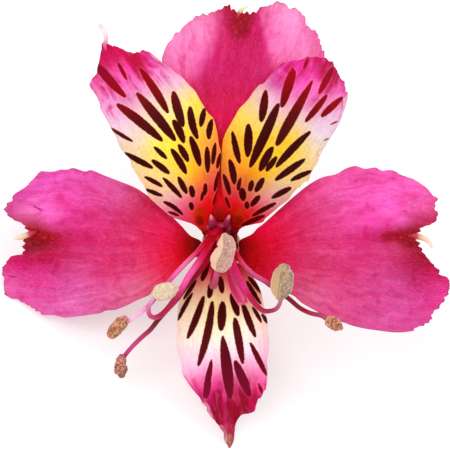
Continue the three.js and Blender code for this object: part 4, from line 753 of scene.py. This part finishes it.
def surface(name, nu, nv):
    """Places on the face (x, y), depth and the grid's shares for one tepal."""
    spec, out = TEPALS[name], OUTLINES[name]
    u = (np.arange(nu + 1) / nu) ** 1.25
    v = np.arange(nv + 1) / nv
    fine = 800

    def edge(points, share):
        line = spline(points, fine)
        s = np.linspace(0, 1, fine + 1)
        return np.stack([np.interp(share, s, line[:, 0]), np.interp(share, s, line[:, 1])], 1)

    a = np.radians(spec["azimuth"] + CLAW_HALF_ANGLE * (1 - 2 * v))
    claw = THROAT + RING[spec["ring"]] * np.stack([np.cos(a), np.sin(a)], 1)
    left, right, far = edge(out["left"], u), edge(out["right"], u), edge(out["distal"], v)
    U, V = np.meshgrid(u, v, indexing="ij")
    p = ((1 - V)[..., None] * left[:, None] + V[..., None] * right[:, None]
         + (1 - U)[..., None] * claw[None] + U[..., None] * far[None]
         - ((1 - U) * (1 - V))[..., None] * claw[0] - ((1 - U) * V)[..., None] * claw[-1]
         - (U * (1 - V))[..., None] * far[0] - (U * V)[..., None] * far[-1])
    # even out the grid inside its edges, so that it never folds over
    for _ in range(260):
        p[1:-1, 1:-1] += 0.8 * (0.25 * (p[:-2, 1:-1] + p[2:, 1:-1] + p[1:-1, :-2] + p[1:-1, 2:]) - p[1:-1, 1:-1])
    # fine teeth along the far edge of the outer tepals
    if not name.endswith("lower"):
        s = V * np.linalg.norm(np.diff(far, axis=0), axis=1).sum()
        outward = unit(p - THROAT)
        saw = lambda x, k: 2 * np.abs((x + 0.6 * noise(x * 0.37, 0 * x, k)) % 1.0 - 0.5)
        tooth = (saw(s / 1.25, 5) - 0.5) * np.clip(0.8 + 1.1 * noise(s / 3.1, 0 * s, 8), 0.05, 2) + 0.5 * (saw(s / 0.5, 6) - 0.5) + 0.6 * noise(s / 2.3, 0 * s, 9)
        p = p + outward * (tooth * (0.38 if spec["ring"] == "outer" else 0.20) * smooth(0.965, 1, U))[..., None]
    rho = np.hypot(p[..., 0] - THROAT[0], p[..., 1] - THROAT[1])
    inner = spec["ring"] == "inner"
    z = (funnel(rho + (RING["outer"] - RING["inner"] if inner else 0)) + spec["lift"] * smooth(5, 13, rho)
         + spec["cup"] * ((2 * V - 1) ** 2 - 0.33) * smooth(9, 24, rho) - spec["fall"] * smooth(0.35, 1, U) ** 1.5)
    # creases and ridges
    for x0, y0, x1, y1, w0, w1, depth0, depth1 in CREASES.get(name, []):
        d = np.array([x1 - x0, y1 - y0])
        length = np.linalg.norm(d)
        t = ((p[..., 0] - x0) * d[0] + (p[..., 1] - y0) * d[1]) / length ** 2
        tc = np.clip(t, 0, 1)
        away = np.hypot(p[..., 0] - x0 - d[0] * tc, p[..., 1] - y0 - d[1] * tc)
        w = w0 + (w1 - w0) * tc
        z = z - (depth0 + (depth1 - depth0) * tc) * np.exp(-(away / w) ** 2)
    # lengthwise ripples and ruffled margins
    seed = sum(map(ord, name)) % 97
    z = z + 0.16 * noise(V * 11, U * 2.2, seed) * smooth(0.25, 0.6, U) + 0.07 * noise(V * 34, U * 2.6, seed + 1) * smooth(0.12, 0.4, U)
    rim = np.minimum(np.minimum(V, 1 - V) * 2, (1 - U) * 1.6)
    z = z + 0.34 * noise(p[..., 0] / 3.4, p[..., 1] / 3.4, seed + 2) * smooth(0.5, 0.0, rim) * smooth(0.3, 0.6, U) * (1 if inner is False or not name.endswith("lower") else smooth(0.80, 0.55, U))
    return p, z, U, V, rho


def tepal(name, material, nu=190, nv=190):
    p, z, U, V, rho = surface(name, nu, nv)
    front = seen(p[..., 0], p[..., 1], z)
    du, dv = np.gradient(front, axis=0), np.gradient(front, axis=1)
    normal = unit(np.cross(du, dv))
    if normal[nu // 2:, :, 2].mean() < 0:
        normal = -normal
    across = np.linalg.norm(np.diff(front, axis=1), axis=2).sum(1)[:, None]
    length = np.linalg.norm(np.diff(front, axis=0), axis=2)
    along = np.vstack([np.zeros(nv + 1), np.cumsum(length, axis=0)])
    total = along[-1][None]
    rim = np.minimum(np.minimum(V, 1 - V) * across, np.minimum(total - along, along))
    thick = 0.46 * (1 - np.exp(-rim / 0.45))
    back = front - normal * thick[..., None]
    n = (nu + 1) * (nv + 1)
    ids = np.arange(n).reshape(nu + 1, nv + 1)
    inside = np.zeros((nu + 1, nv + 1), bool)
    inside[1:-1, 1:-1] = True
    ids_back = ids.copy()
    ids_back[inside] = n + np.arange(inside.sum())
    verts = np.vstack([front.reshape(-1, 3), back[inside]])
    i, j = np.meshgrid(np.arange(nu), np.arange(nv), indexing="ij")
    i, j = i.ravel(), j.ravel()

    def quads(table):
        return np.stack([table[i, j], table[i, j + 1], table[i + 1, j + 1], table[i + 1, j]], 1)

    # the front's faces turn the way that their normal says
    f = quads(ids)
    a, b, c = front.reshape(-1, 3)[f[:, 0]], front.reshape(-1, 3)[f[:, 1]], front.reshape(-1, 3)[f[:, 2]]
    facing = (np.cross(b - a, c - a) * normal[i, j]).sum(1).mean() > 0
    g = quads(ids_back)
    cu = np.stack([i, i, i + 1, i + 1], 1) / nu
    cv = np.stack([j, j + 1, j + 1, j], 1) / nv
    uv_f = np.stack([0.005 + 0.99 * cu, 0.005 + 0.645 * cv], -1)
    uv_b = np.stack([0.005 + 0.99 * cu, 0.665 + 0.33 * cv], -1)
    if facing:
        g, uv_b = g[:, ::-1], uv_b[:, ::-1]
    else:
        f, uv_f = f[:, ::-1], uv_f[:, ::-1]
    # colours
    shade = blend_stops(TINTS[name], p)
    for x0, y0, x1, y1, w0, w1, soft, bend, r, gg, b, strength in STROKES.get(name, []):
        k = (stroke_mask(p, x0, y0, x1, y1, w0, w1, soft, bend) * strength)[..., None]
        shade = shade * (1 - k) + np.array([r, gg, b], float) * k
    inner = TEPALS[name]["ring"] == "inner"
    # painted light: clearer, deeper reds down in the throat, made brighter there to make up for the shade that falls in
    # it
    deep = smooth(185, 120, rho / 0.179) * 0.8 if name.endswith("top") else smooth(*((50, 20) if name.endswith("lower") else (78, 28) if inner else (95, 28)), rho / 0.179)
    shade = np.clip(shade * (1 + deep[..., None] * np.array([0.26, -0.04 if inner else -0.22, 0.16])), 0, 255)
    # crimson and pale streaks along the veins
    reach = rho / 0.179
    warp = 0.8 * noise(p[..., 0] * 0.5, p[..., 1] * 0.5, 74)
    cloud = lambda f, k: noise(f * (0.8 * p[..., 0] + 0.6 * p[..., 1]) + warp, f * (0.8 * p[..., 1] - 0.6 * p[..., 0]) - warp, k)
    streak = noise(V * 30 + warp, U * 6, 71) * 0.50 + noise(V * 66 + 2 * warp, U * 9, 72) * 0.40 + (cloud(0.6, 73) + 0.6 * cloud(1.4, 75) + 0.4 * cloud(3.0, 76)) * (0.45 if inner else 0.25)
    if name == "inner_tepal_lower":
        zone = smooth(118, 150, reach)
    elif inner:
        zone = smooth(158, 188, reach)
    else:
        zone = smooth(20, 60, reach) * 0.5
    k = (np.clip(streak - 0.05, 0, 1) * zone * 0.75)[..., None]
    shade = shade * (1 - k) + np.array([182, 6, 72], float) * k
    k = (np.clip(-streak - 0.15, 0, 1) * zone * 0.45)[..., None]
    shade = shade * (1 - k) + np.array([255, 158, 214], float) * k
    pale = np.array([238, 196, 196] if inner else [232, 128, 176], float)
    rib = np.exp(-((V - 0.5) / 0.07) ** 2)[..., None] * (1 - 0.5 * smooth(0.2, 0.9, U))[..., None]
    under = shade * 0.55 + pale * 0.45
    under = under * (1 - 0.45 * rib) + np.array([176, 170, 96], float) * 0.45 * rib
    claw = (1 - smooth(0.16, 0.46, U))[..., None]
    under = under * (1 - 0.85 * claw) + np.array([186, 22, 50], float) * 0.85 * claw
    both = lambda x, y: np.concatenate([x.reshape(n, *x.shape[2:]), y[inside]])
    attrs = {"tint": linear(both(shade, under))}
    vein = np.stack([U, V, np.zeros_like(U)], -1)
    attrs["vein"] = both(vein, vein + np.array([0, 0, 3.0]))
    if name in DASHES:
        dist, ink = dash_field(DASHES[name], p)
        at, inks = INKS["lower" if name.endswith("lower") else "upper"]
        ink = 0.25 * ink + 0.75 * np.stack([np.interp(reach, at, [c[x] for c in inks]) for x in range(3)], -1)
        attrs["dash"] = both(dist, dist)
        attrs["dash_strength"] = both(1.0 * np.ones_like(dist), 0.40 * np.ones_like(dist))
        attrs["tint_dash"] = linear(both(ink, ink * 0.6 + 60))
        light = np.clip(shade * 0.72 + np.array([255, 214, 170], float) * 0.28, 0, 255)
        attrs["tint_halo"] = linear(both(light, under))
    obj = make(name + "_petal", verts, np.vstack([f, g]), np.concatenate([uv_f, uv_b]), attrs, material)
    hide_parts(name)
    return obj


def depth_at(name, x, y):
    """Depth of a tepal's face at a place."""
    p, z = surface(name, 70, 70)[:2]
    return float(z.flat[np.argmin(((p - np.array([x, y])) ** 2).sum(-1))])



# ------------------------------------------------------------------ the pieces
PETAL_OUTER = tepal_material("outer_tepal_skin", 0.45, marks=False, sparks=0.48, blotches=0.5)
PETAL_UPPER = tepal_material("inner_upper_skin", 0.50, sparks=0.12, blotches=0.22)
PETAL_LOWER = tepal_material("inner_lower_skin", 0.50, sparks=0.12, blotches=0.22)
STALK_SKIN = stalk_material("stamen_stalk_skin", 0.30)
STYLE_SKIN = stalk_material("style_skin", 0.34, 0.5)
FRESH = pollen_material("fresh_anther_skin", 4600.0, 0.36, 0.00010, 0.74)
SPENT = pollen_material("spent_anther_skin", 4200.0, 0.62, 0.00018, 0.88)
GREEN = stalk_material("green_stem_skin", 0.45, 0.5)

for tepal_name in TEPALS:
    ring_inner = TEPALS[tepal_name]["ring"] == "inner"
    skin = PETAL_OUTER if not ring_inner else PETAL_LOWER if tepal_name.endswith("lower") else PETAL_UPPER
    tepal(tepal_name, skin)


def stamen_stalk(key, radius, tint, **more):
    obj = tube(key + "_stalk", STALKS[key], radius, tint, STALK_SKIN, sides=24, steps=120, slot="filament", **more)
    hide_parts(key)
    return obj


def pair(a, b, mask):
    """Two colours mixed by a mask, in linear light."""
    k = np.clip(mask, 0, 1)[:, None]
    return linear(a) * (1 - k) + linear(b) * k


def bump_at(ang, middle, width):
    d = np.angle(np.exp(1j * (ang - middle)))
    return np.exp(-(d / width) ** 2)


# colour stops along each stalk by share of its length: besides their own crimson and pink, the light pink stretches
# midway along filaments 3, 4 and 6 and near the tip of filament 4 are painted highlights, laid all round the stalk
BASE = [(0, (110, 6, 24)), (0.22, (150, 6, 28)), (0.34, (182, 6, 34)), (0.42, (192, 8, 44))]
for key, radius, tint in [
    ("filament_1", [(0, 0.8), (0.3, 0.75), (0.6, 0.62), (0.8, 0.70), (0.92, 0.5), (1, 0.42)],
     BASE + [(0.50, (160, 6, 42)), (0.66, (160, 8, 50)), (0.76, (172, 14, 62)), (0.86, (176, 30, 78)), (0.93, (190, 66, 108)), (1, (196, 90, 122))]),
    ("filament_2", [(0, 0.85), (0.22, 0.8), (0.45, 0.66), (0.85, 0.46), (1, 0.34)],
     BASE + [(0.50, (212, 22, 86)), (0.60, (224, 40, 122)), (0.68, (226, 50, 136)), (0.75, (190, 14, 74)), (0.84, (184, 22, 76)), (0.92, (156, 30, 66)), (1, (206, 110, 140))]),
    ("filament_3", [(0, 0.85), (0.22, 0.82), (0.5, 0.64), (0.85, 0.48), (1, 0.34)],
     BASE + [(0.50, (216, 34, 104)), (0.58, (238, 88, 168)), (0.66, (234, 84, 164)), (0.73, (212, 30, 104)), (0.80, (180, 12, 64)), (0.87, (178, 18, 70)), (0.93, (204, 76, 132)), (1, (232, 160, 196))]),
    ("filament_4", [(0, 0.8), (0.25, 0.7), (0.5, 0.46), (1, 0.38)],
     BASE + [(0.50, (214, 44, 96)), (0.60, (238, 112, 164)), (0.68, (236, 100, 168)), (0.78, (170, 60, 100)), (0.85, (176, 80, 124)), (0.92, (240, 176, 214)), (0.97, (246, 196, 222)), (1, (214, 120, 160))]),
    ("filament_5", [(0, 0.85), (0.25, 0.8), (0.5, 0.52), (1, 0.40)],
     BASE + [(0.48, (166, 10, 46)), (0.60, (132, 6, 38)), (0.70, (118, 4, 28)), (0.80, (112, 6, 24)), (0.87, (186, 50, 100)), (0.94, (204, 70, 140)), (1, (160, 30, 66))]),
    ("filament_6", [(0, 0.8), (0.25, 0.72), (0.5, 0.48), (1, 0.40)],
     BASE + [(0.48, (226, 70, 112)), (0.55, (220, 96, 150)), (0.64, (206, 84, 140)), (0.72, (140, 14, 50)), (0.82, (128, 10, 40)), (0.90, (150, 10, 44)), (1, (176, 60, 96))]),
]:
    stamen_stalk(key, radius, tint)

# the filaments' bases, close together where they leave the throat
bundle = [((x - 225) * 0.179, (225 - y) * 0.179, z) for x, y, z in [(221, 247, -19.3), (219.5, 241, -15), (217.5, 236.5, -11), (214, 238, -7.8), (208, 246, -6.2)]]
tube("filament_bases", bundle, [(0, 1.3), (0.35, 1.75), (0.6, 1.8), (0.85, 1.35), (1, 0.5)],
     lambda a, t: pair((172, 4, 30), (206, 14, 56), 0.5 + 0.35 * np.cos(5 * a + 1) + 0.5 * noise(t * 6 + 0 * a, a * 3, 61)),
     STALK_SKIN, sides=72, steps=70, lobes=lambda a, t: 1 + 0.10 * np.cos(5 * a + 1), slot="filament", cap=0.6)

# the style: crimson at its root and paler pink towards its tip; the lighter streaks on its three ridges are painted
# highlights
obj = tube("style_body", STALKS["style"], [(0, 0.8), (0.35, 0.9), (0.6, 1.0), (0.9, 1.02), (1, 0.92)],
           lambda a, s: pair((206, 22, 86), (238, 120, 166), (0.30 + 0.45 * np.cos(3 * a) + 0.5 * noise(s * 5 + 0 * a, a * 5, 77)) * smooth(0.4, 0.9, s))
           * (1 - smooth(0.5, 0.1, s))[..., None] + linear((182, 6, 34)) * smooth(0.5, 0.1, s), STYLE_SKIN,
           sides=48, steps=120, lobes=lambda a, s: 1 + 0.16 * np.cos(3 * a) * s, slot="style", cap=0.35)
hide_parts("style")


def anther(key, path, radius, width, depth, tint, skin, slot_name, dust, groove=None, grain=0.05, seed=1, sides=96, steps=110, notch=None):
    """An anther along its bent axis: width across it, depth towards the viewer, with grooves and a grainy skin."""
    ref = [0]

    def lobes(a, s):
        across, deep = width, depth
        r = 1 / np.sqrt((np.cos(a) / deep) ** 2 + (np.sin(a) / across) ** 2)
        for middle, wide, cut in groove or []:
            r = r - cut * bump_at(a, middle, wide)
        rough = noise(s * 34 + 0 * a, np.cos(a) * 5 + np.sin(a) * 7, seed) + 0.6 * noise(s * 70 + 0 * a, np.cos(a) * 11 + np.sin(a) * 13, seed + 1)
        if notch:
            r = r * (1 + notch(a, s))
        return r * (1 + grain * rough * dust(a, s))

    obj = tube(key + "_body", path, radius, tint, skin, sides=sides, steps=steps, lobes=lobes, slot=slot_name, cap=min(width, depth), extra=dust)
    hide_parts(key)
    return obj


def px_path(points):
    return [((x - 225) * 0.179, (225 - y) * 0.179, z) for x, y, z in points]


WAISTED = [(0, 0.55), (0.1, 0.74), (0.28, 0.80), (0.38, 0.80), (0.58, 1.04), (0.82, 1.02), (0.94, 0.82), (1, 0.6)]
BARREL = [(0, 0.72), (0.06, 0.9), (0.2, 1.0), (0.6, 1.0), (0.9, 0.94), (1, 0.78)]
ROUND = [(0, 0.35), (0.06, 0.62), (0.18, 0.9), (0.45, 1.0), (0.75, 0.95), (0.93, 0.68), (1, 0.4)]


def tint_1(a, s):
    side = np.sin(a) + 0.05 * noise(s * 9 + 0 * a, a, 3) - 0.10 * (1 - s) * smooth(0.5, 0.0, s)
    c = pair((226, 184, 154), (214, 160, 148), smooth(0.1, -0.6, side))
    mauve = np.exp(-((side + 0.12) / 0.34) ** 2) * (0.75 + 0.4 * noise(s * 22 + 0 * a, a * 4, 8))
    c = c * (1 - mauve[:, None] * 0.8) + linear((158, 104, 102)) * mauve[:, None] * 0.8
    line = (np.exp(-((side - 0.27) / 0.09) ** 2) * 0.8)[:, None]
    c = c * (1 - line) + linear((140, 92, 66)) * line
    # a paler rim along both sides, a painted highlight
    rim = (smooth(0.86, 1.0, np.abs(np.sin(a))) * 0.6)[:, None]
    return c * (1 - rim) + linear((240, 182, 176)) * rim


anther("anther_1", px_path([(224.6, 235.2, 15.0), (226, 241, 15.2), (226.1, 248, 15.4), (223.6, 255.5, 15.3), (221, 262, 15.1), (219.4, 266, 14.9)]),
       [(0, 0.30), (0.05, 0.46), (0.12, 0.66), (0.27, 0.85), (0.42, 0.86), (0.54, 0.90), (0.70, 0.98), (0.85, 1.0), (0.95, 0.93), (1, 0.80)], 1.92, 1.30, tint_1, FRESH, "anther_fresh",
       lambda a, s: smooth(0.45, 0.15, np.sin(a)) * 0.85 + 0.15, [(1.25, 0.16, 0.22)], grain=0.035, seed=11,
       notch=lambda a, s: -0.16 * bump_at(a, 1.57, 0.8) * np.exp(-((s - 0.40) / 0.10) ** 2) + 0.05 * bump_at(a, 1.57, 0.8) * np.exp(-((s - 0.80) / 0.15) ** 2))


def tint_2(a, s):
    side = np.sin(a) + 0.08 * noise(s * 9 + 0 * a, a, 4)
    tan = pair((190, 156, 124), (150, 118, 92), 0.5 + 0.9 * noise(s * 16 + 0 * a, a * 3, 9))
    cream = pair((198, 158, 110), (188, 148, 112), smooth(0.2, 0.9, s) + 0 * a)
    k = smooth(-0.34, -0.52, side)[:, None]
    c = tan * (1 - k) + cream * k
    line = (np.exp(-((side + 0.42) / 0.06) ** 2) * 0.7)[:, None]
    c = c * (1 - line) + linear((126, 86, 52)) * line
    line = (np.exp(-((side + 0.30) / 0.06) ** 2) * 0.5)[:, None]
    c = c * (1 - line) + linear((226, 204, 172)) * line
    # a paler rim along both sides, a painted highlight
    rim = (smooth(0.90, 1.0, np.abs(np.sin(a))) * 0.6)[:, None]
    return c * (1 - rim) + linear((236, 186, 176)) * rim


anther("anther_2", px_path([(280, 297.5, 15.2), (281, 290, 15.4), (282.5, 281, 15.5), (284.3, 267.5, 15.3)]),
       [(0, 0.42), (0.08, 0.66), (0.25, 0.93), (0.5, 1.0), (0.8, 0.90), (0.93, 0.70), (1, 0.5)], 1.98, 1.35, tint_2, FRESH, "anther_fresh",
       lambda a, s: smooth(-0.55, -0.35, np.sin(a)) * 0.9 + 0.1, [(-0.46, 0.2, 0.25)], seed=23)


def tint_3(a, s):
    c = pair((228, 204, 172), (198, 170, 136), 0.45 + 0.6 * noise(s * 13 + 0 * a, a * 2.2, 12))
    # a paler pink along both sides, a painted highlight
    k = (smooth(0.75, 1.0, np.abs(np.sin(a))) * 0.5)[:, None]
    return c * (1 - k) + linear((232, 168, 150)) * k


anther("anther_3", px_path([(153.5, 294.2, 13.6), (164.5, 291.5, 13.9), (176, 288.6, 13.8)]), ROUND, 1.52, 1.3, tint_3, FRESH, "anther_fresh",
       lambda a, s: 0.35 + 0 * a, [(0.1, 0.16, 0.10)], seed=31)


def tint_spent(seed, one=(238, 166, 122), two=(176, 102, 70)):
    def tint(a, s):
        c = pair(one, two, 0.5 + 0.9 * noise(s * 11 + 0 * a, a * 2.4, seed))
        k = (smooth(0.10, 0.0, s) * 0.35 + 0 * a)[:, None]
        return c * (1 - k) + linear((236, 140, 170)) * k
    return tint


for key, path, width, depth, seed in [
    ("anther_4", [(124.3, 319.8, 8.5), (118, 326.6, 8.8), (111.6, 334.2, 8.7)], 1.10, 1.05, 41),
    ("anther_5", [(121.6, 357, 3.1), (120.6, 366, 3.3), (121.6, 374.6, 3.3)], 1.12, 1.05, 43),
    ("anther_6", [(325.8, 318.6, 8.6), (333.5, 323.3, 8.7), (341, 328, 8.6)], 1.06, 1.0, 47),
]:
    anther(key, px_path(path), {"anther_4": BARREL, "anther_5": WAISTED}.get(key, ROUND), width, depth,
           tint_spent(seed, (226, 150, 128), (150, 78, 62)) if key == "anther_5" else tint_spent(seed), SPENT, "anther_spent", lambda a, s: 1.0 + 0 * a,
           [(0.0, 0.25, 0.14)], grain=0.13, seed=seed, sides=72, steps=80)

# the ovary and its stalk
CX, CY = THROAT
obj = tube("ovary_body", [(CX, CY, -19.3), (CX, CY, -22.5), (CX, CY, -26), (CX, CY, -29.3)],
           [(0, 3.05), (0.03, 3.3), (0.14, 3.42), (0.22, 3.56), (0.36, 3.7), (0.56, 3.44), (0.77, 2.78), (0.93, 1.9), (1, 1.48)],
           lambda a, s: pair((176, 14, 44), (128, 150, 66), smooth(0.28, 0.66, s) + 0.25 * np.cos(6 * a) + 0.2 * noise(s * 8 + 0 * a, a * 3, 5)),
           GREEN, sides=120, steps=90, lobes=lambda a, s: 1 + (0.05 + 0.04 * np.cos(6 * a)) * np.cos(6 * a) * (1 - 0.6 * s), slot="ovary", cap=0.08)
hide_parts("ovary")
obj = tube("pedicel_body", [(CX, CY, -29.2), (CX, CY + 0.1, -31.6), (CX - 0.1, CY + 0.5, -33.95)],
           [(0, 1.4), (0.15, 1.28), (0.8, 1.25), (1, 1.27)],
           lambda a, s: pair((120, 148, 66), (150, 174, 96), smooth(0.2, 1, s) + 0.4 * noise(s * 3 + 0 * a, a * 3, 6)),
           GREEN, sides=64, steps=60, lobes=lambda a, s: 1 + 0.03 * np.cos(5 * a), slot="stalk", cap=0.06)
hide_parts("pedicel")

# the small hooked points of the tepals, rooted in their faces
for tepal_name, key, path, radius, tint, slot_name in [
    ("outer_tepal_top", "outer_top_point", [(237, 19, 0), (239.5, 13, 0), (242, 9.5, 0.1), (245, 7, 0.2), (247.5, 6.5, 0.2)], [(0, 0.22), (0.35, 0.46), (0.6, 0.42), (1, 0.16)],
     [(0, (170, 10, 40)), (0.3, (190, 70, 90)), (0.5, (214, 214, 150)), (1, (240, 240, 214))], "outer_tepal"),
    ("outer_tepal_left", "outer_left_point", [(37, 231.5, 0), (30, 234, 0), (24, 236.3, 0.1), (18, 237.6, 0.2), (13.5, 238.4, 0.2)], [(0, 0.22), (0.3, 0.6), (0.7, 0.52), (1, 0.32)],
     [(0, (170, 10, 40)), (0.3, (200, 60, 90)), (0.5, (230, 190, 160)), (1, (244, 232, 214))], "outer_tepal"),
    ("outer_tepal_right", "outer_right_point", [(408, 236, 0), (416, 236.3, 0), (423, 238, 0.1), (429, 242, 0.2), (432, 247.5, 0.1)], [(0, 0.22), (0.3, 0.6), (0.6, 0.5), (1, 0.26)],
     [(0, (170, 10, 40)), (0.3, (200, 60, 90)), (0.5, (236, 200, 166)), (1, (248, 236, 214))], "outer_tepal"),
    ("inner_tepal_upper_left", "inner_upper_left_point", [(106, 51, 0), (105, 45, 0), (106, 38, 0.1), (104, 31, 0.2), (100.5, 26, 0.2)], [(0, 0.2), (0.3, 0.44), (0.5, 0.34), (0.8, 0.58), (1, 0.42)],
     [(0, (206, 30, 100)), (0.25, (222, 110, 166)), (0.45, (226, 186, 214)), (0.75, (248, 232, 222)), (1, (240, 204, 214))], "inner_tepal_upper"),
]:
    path = [((x - 225) * 0.179, (225 - y) * 0.179, z) for x, y, z in path]
    deep = [depth_at(tepal_name, x, y) for x, y, z in path[:2]]
    slope = np.clip(deep[1] - deep[0], -0.6, 0.6)
    tube(key, [(x, y, (deep[0] - 0.12 if k == 0 else deep[1] - 0.05 + slope * 0.5 * (k - 1)) + z) for k, (x, y, z) in enumerate(path)],
         radius, tint, STYLE_SKIN, sides=16, steps=40, slot=slot_name, cap=0.8)

# the in-rolled edges of the two upper inner claws, with the small cups that they end in
for tepal_name, key, path, radius, lean in [
    ("inner_tepal_upper_left", "claw_fold_left", [(213.2, 227.0, 0.0), (212.3, 222.5, 0.7), (210.9, 214.8, 1.5)], [(0, 0.5), (0.3, 0.80), (0.62, 0.66), (0.88, 0.28), (1, 0.06)], -0.2),
    ("inner_tepal_upper_right", "claw_fold_right", [(225.6, 227.8, 0.0), (227.0, 222.5, 0.7), (229.4, 215.0, 1.5)], [(0, 0.5), (0.3, 0.66), (0.62, 0.54), (0.88, 0.26), (1, 0.06)], 0.35),
]:
    path = px_path(path)
    root = depth_at(tepal_name, path[0][0], path[0][1])
    tip = depth_at(tepal_name, path[-1][0], path[-1][1])
    tube(key, [(x, y, root + (tip - root) * k / 2 + z) for k, (x, y, z) in enumerate(path)], radius,
         # purple-pink, with painted shade darkening the cup's hollow and a painted highlight paling the rim round its
         # lips and its tip
         lambda a, s, lean=lean: (lambda hollow_shade, rim: (pair((186, 52, 108), (104, 16, 60), hollow_shade) * (1 - rim[:, None]) + linear((255, 196, 218)) * rim[:, None]))(
             bump_at(a, lean, 0.5) * smooth(0.08, 0.3, s), np.clip(bump_at(a, lean + 0.85, 0.30) + bump_at(a, lean - 0.85, 0.30) + smooth(0.72, 0.95, s), 0, 1) * 0.9),
         STYLE_SKIN, sides=64, steps=70, slot="inner_tepal_upper", cap=0.6,
         lobes=lambda a, s, lean=lean: 1 - 0.72 * bump_at(a, lean, 0.5) * smooth(0.05, 0.28, s) * smooth(1.0, 0.85, s))
for key, path, radius, seed in [
    ("claw_seam", [(208.5, 226.5, 0.1), (213, 229.5, 0.4), (219, 229.5, 0.5), (224.5, 230, 0.4), (229.5, 227, 0.1)], [(0, 0.45), (0.2, 0.80), (0.5, 0.85), (0.8, 0.78), (1, 0.45)], 91),
    ("claw_seam_upper", [(214, 223.5, 0.2), (218, 225.2, 0.3), (222, 225.4, 0.3), (226, 224.2, 0.2)], [(0, 0.4), (0.3, 0.6), (0.7, 0.6), (1, 0.4)], 95),
]:
    path = px_path(path)
    tube(key, [(x, y, depth_at("inner_tepal_upper_left" if x < -0.72 else "inner_tepal_upper_right", x, y) + z) for x, y, z in path], radius,
         lambda a, s, seed=seed: pair((200, 30, 76), (232, 96, 136), 0.45 + 0.9 * noise(s * 7 + 0 * a, a * 2.5, seed)),
         STYLE_SKIN, sides=40, steps=60, slot="inner_tepal_upper", cap=0.7)


# ------------------------------------------------------------------ floor, light and camera
def floor():
    m = Nodes("studio_floor")
    place_ = m.add("ShaderNodeTexCoord").outputs["Object"]
    grain = m.noise(place_, 60.0, 3.0)
    shade = m.mix(grain, rgba((212, 212, 212)), rgba((217, 217, 217)))
    mat = m.finish(Base_Color=shade, Roughness=0.85, Specular_IOR_Level=0.1, Emission_Color=(1.0, 1.0, 1.0, 1.0), Emission_Strength=0.40)
    mesh = bpy.data.meshes.new("floor")
    s = 3.0
    mesh.from_pydata([(-s, -s, 0), (s, -s, 0), (s, s, 0), (-s, s, 0)], [], [(0, 1, 2, 3)])
    mesh.materials.append(mat)
    obj = bpy.data.objects.new("floor", mesh)
    bpy.context.scene.collection.objects.link(obj)


def area(name, at, target, size, power, colour=(1, 1, 1)):
    from mathutils import Vector
    light = bpy.data.lights.new(name, "AREA")
    light.shape, light.size, light.energy, light.color = "DISK", size, power, colour
    obj = bpy.data.objects.new(name, light)
    obj.location = at
    obj.rotation_mode = "QUATERNION"
    obj.rotation_quaternion = (Vector(target) - Vector(at)).to_track_quat("-Z", "Y")
    bpy.context.scene.collection.objects.link(obj)


floor()
world = bpy.data.worlds.new("studio")
bpy.context.scene.world = world
world.use_nodes = True
world.node_tree.nodes["Background"].inputs["Color"].default_value = (1.0, 1.0, 1.0, 1)
world.node_tree.nodes["Background"].inputs["Strength"].default_value = 0.60
TO_VIEWER = ROT @ np.array([0.0, 0.0, 1.0])
UP = ROT @ np.array([0.0, 1.0, 0.0])
RIGHT = ROT @ np.array([1.0, 0.0, 0.0])
KEY = TO_VIEWER * 0.68 + UP * 0.20 - RIGHT * 0.12
area("key", KEY, (0, 0, 0.02), 0.40, 2.2)
area("overhead", (0.1, 0.25, 1.1), (0, 0, 0), 1.0, 4.2)

from mathutils import Matrix
camera = bpy.data.cameras.new("camera")
camera.sensor_width = 36.0
camera.lens = 36.0 * EYE / 80.55
camera.clip_start, camera.clip_end = 0.01, 20
eye = bpy.data.objects.new("camera", camera)
bpy.context.scene.collection.objects.link(eye)
spot = (ROT @ np.array([0.0, 0.0, EYE]) + SHIFT) / 1000
m4 = np.eye(4)
m4[:3, 0], m4[:3, 1], m4[:3, 2], m4[:3, 3] = RIGHT, UP, TO_VIEWER, spot
eye.matrix_world = Matrix(m4.tolist())
bpy.context.scene.camera = eye
bpy.context.scene.view_settings.view_transform = "Standard"
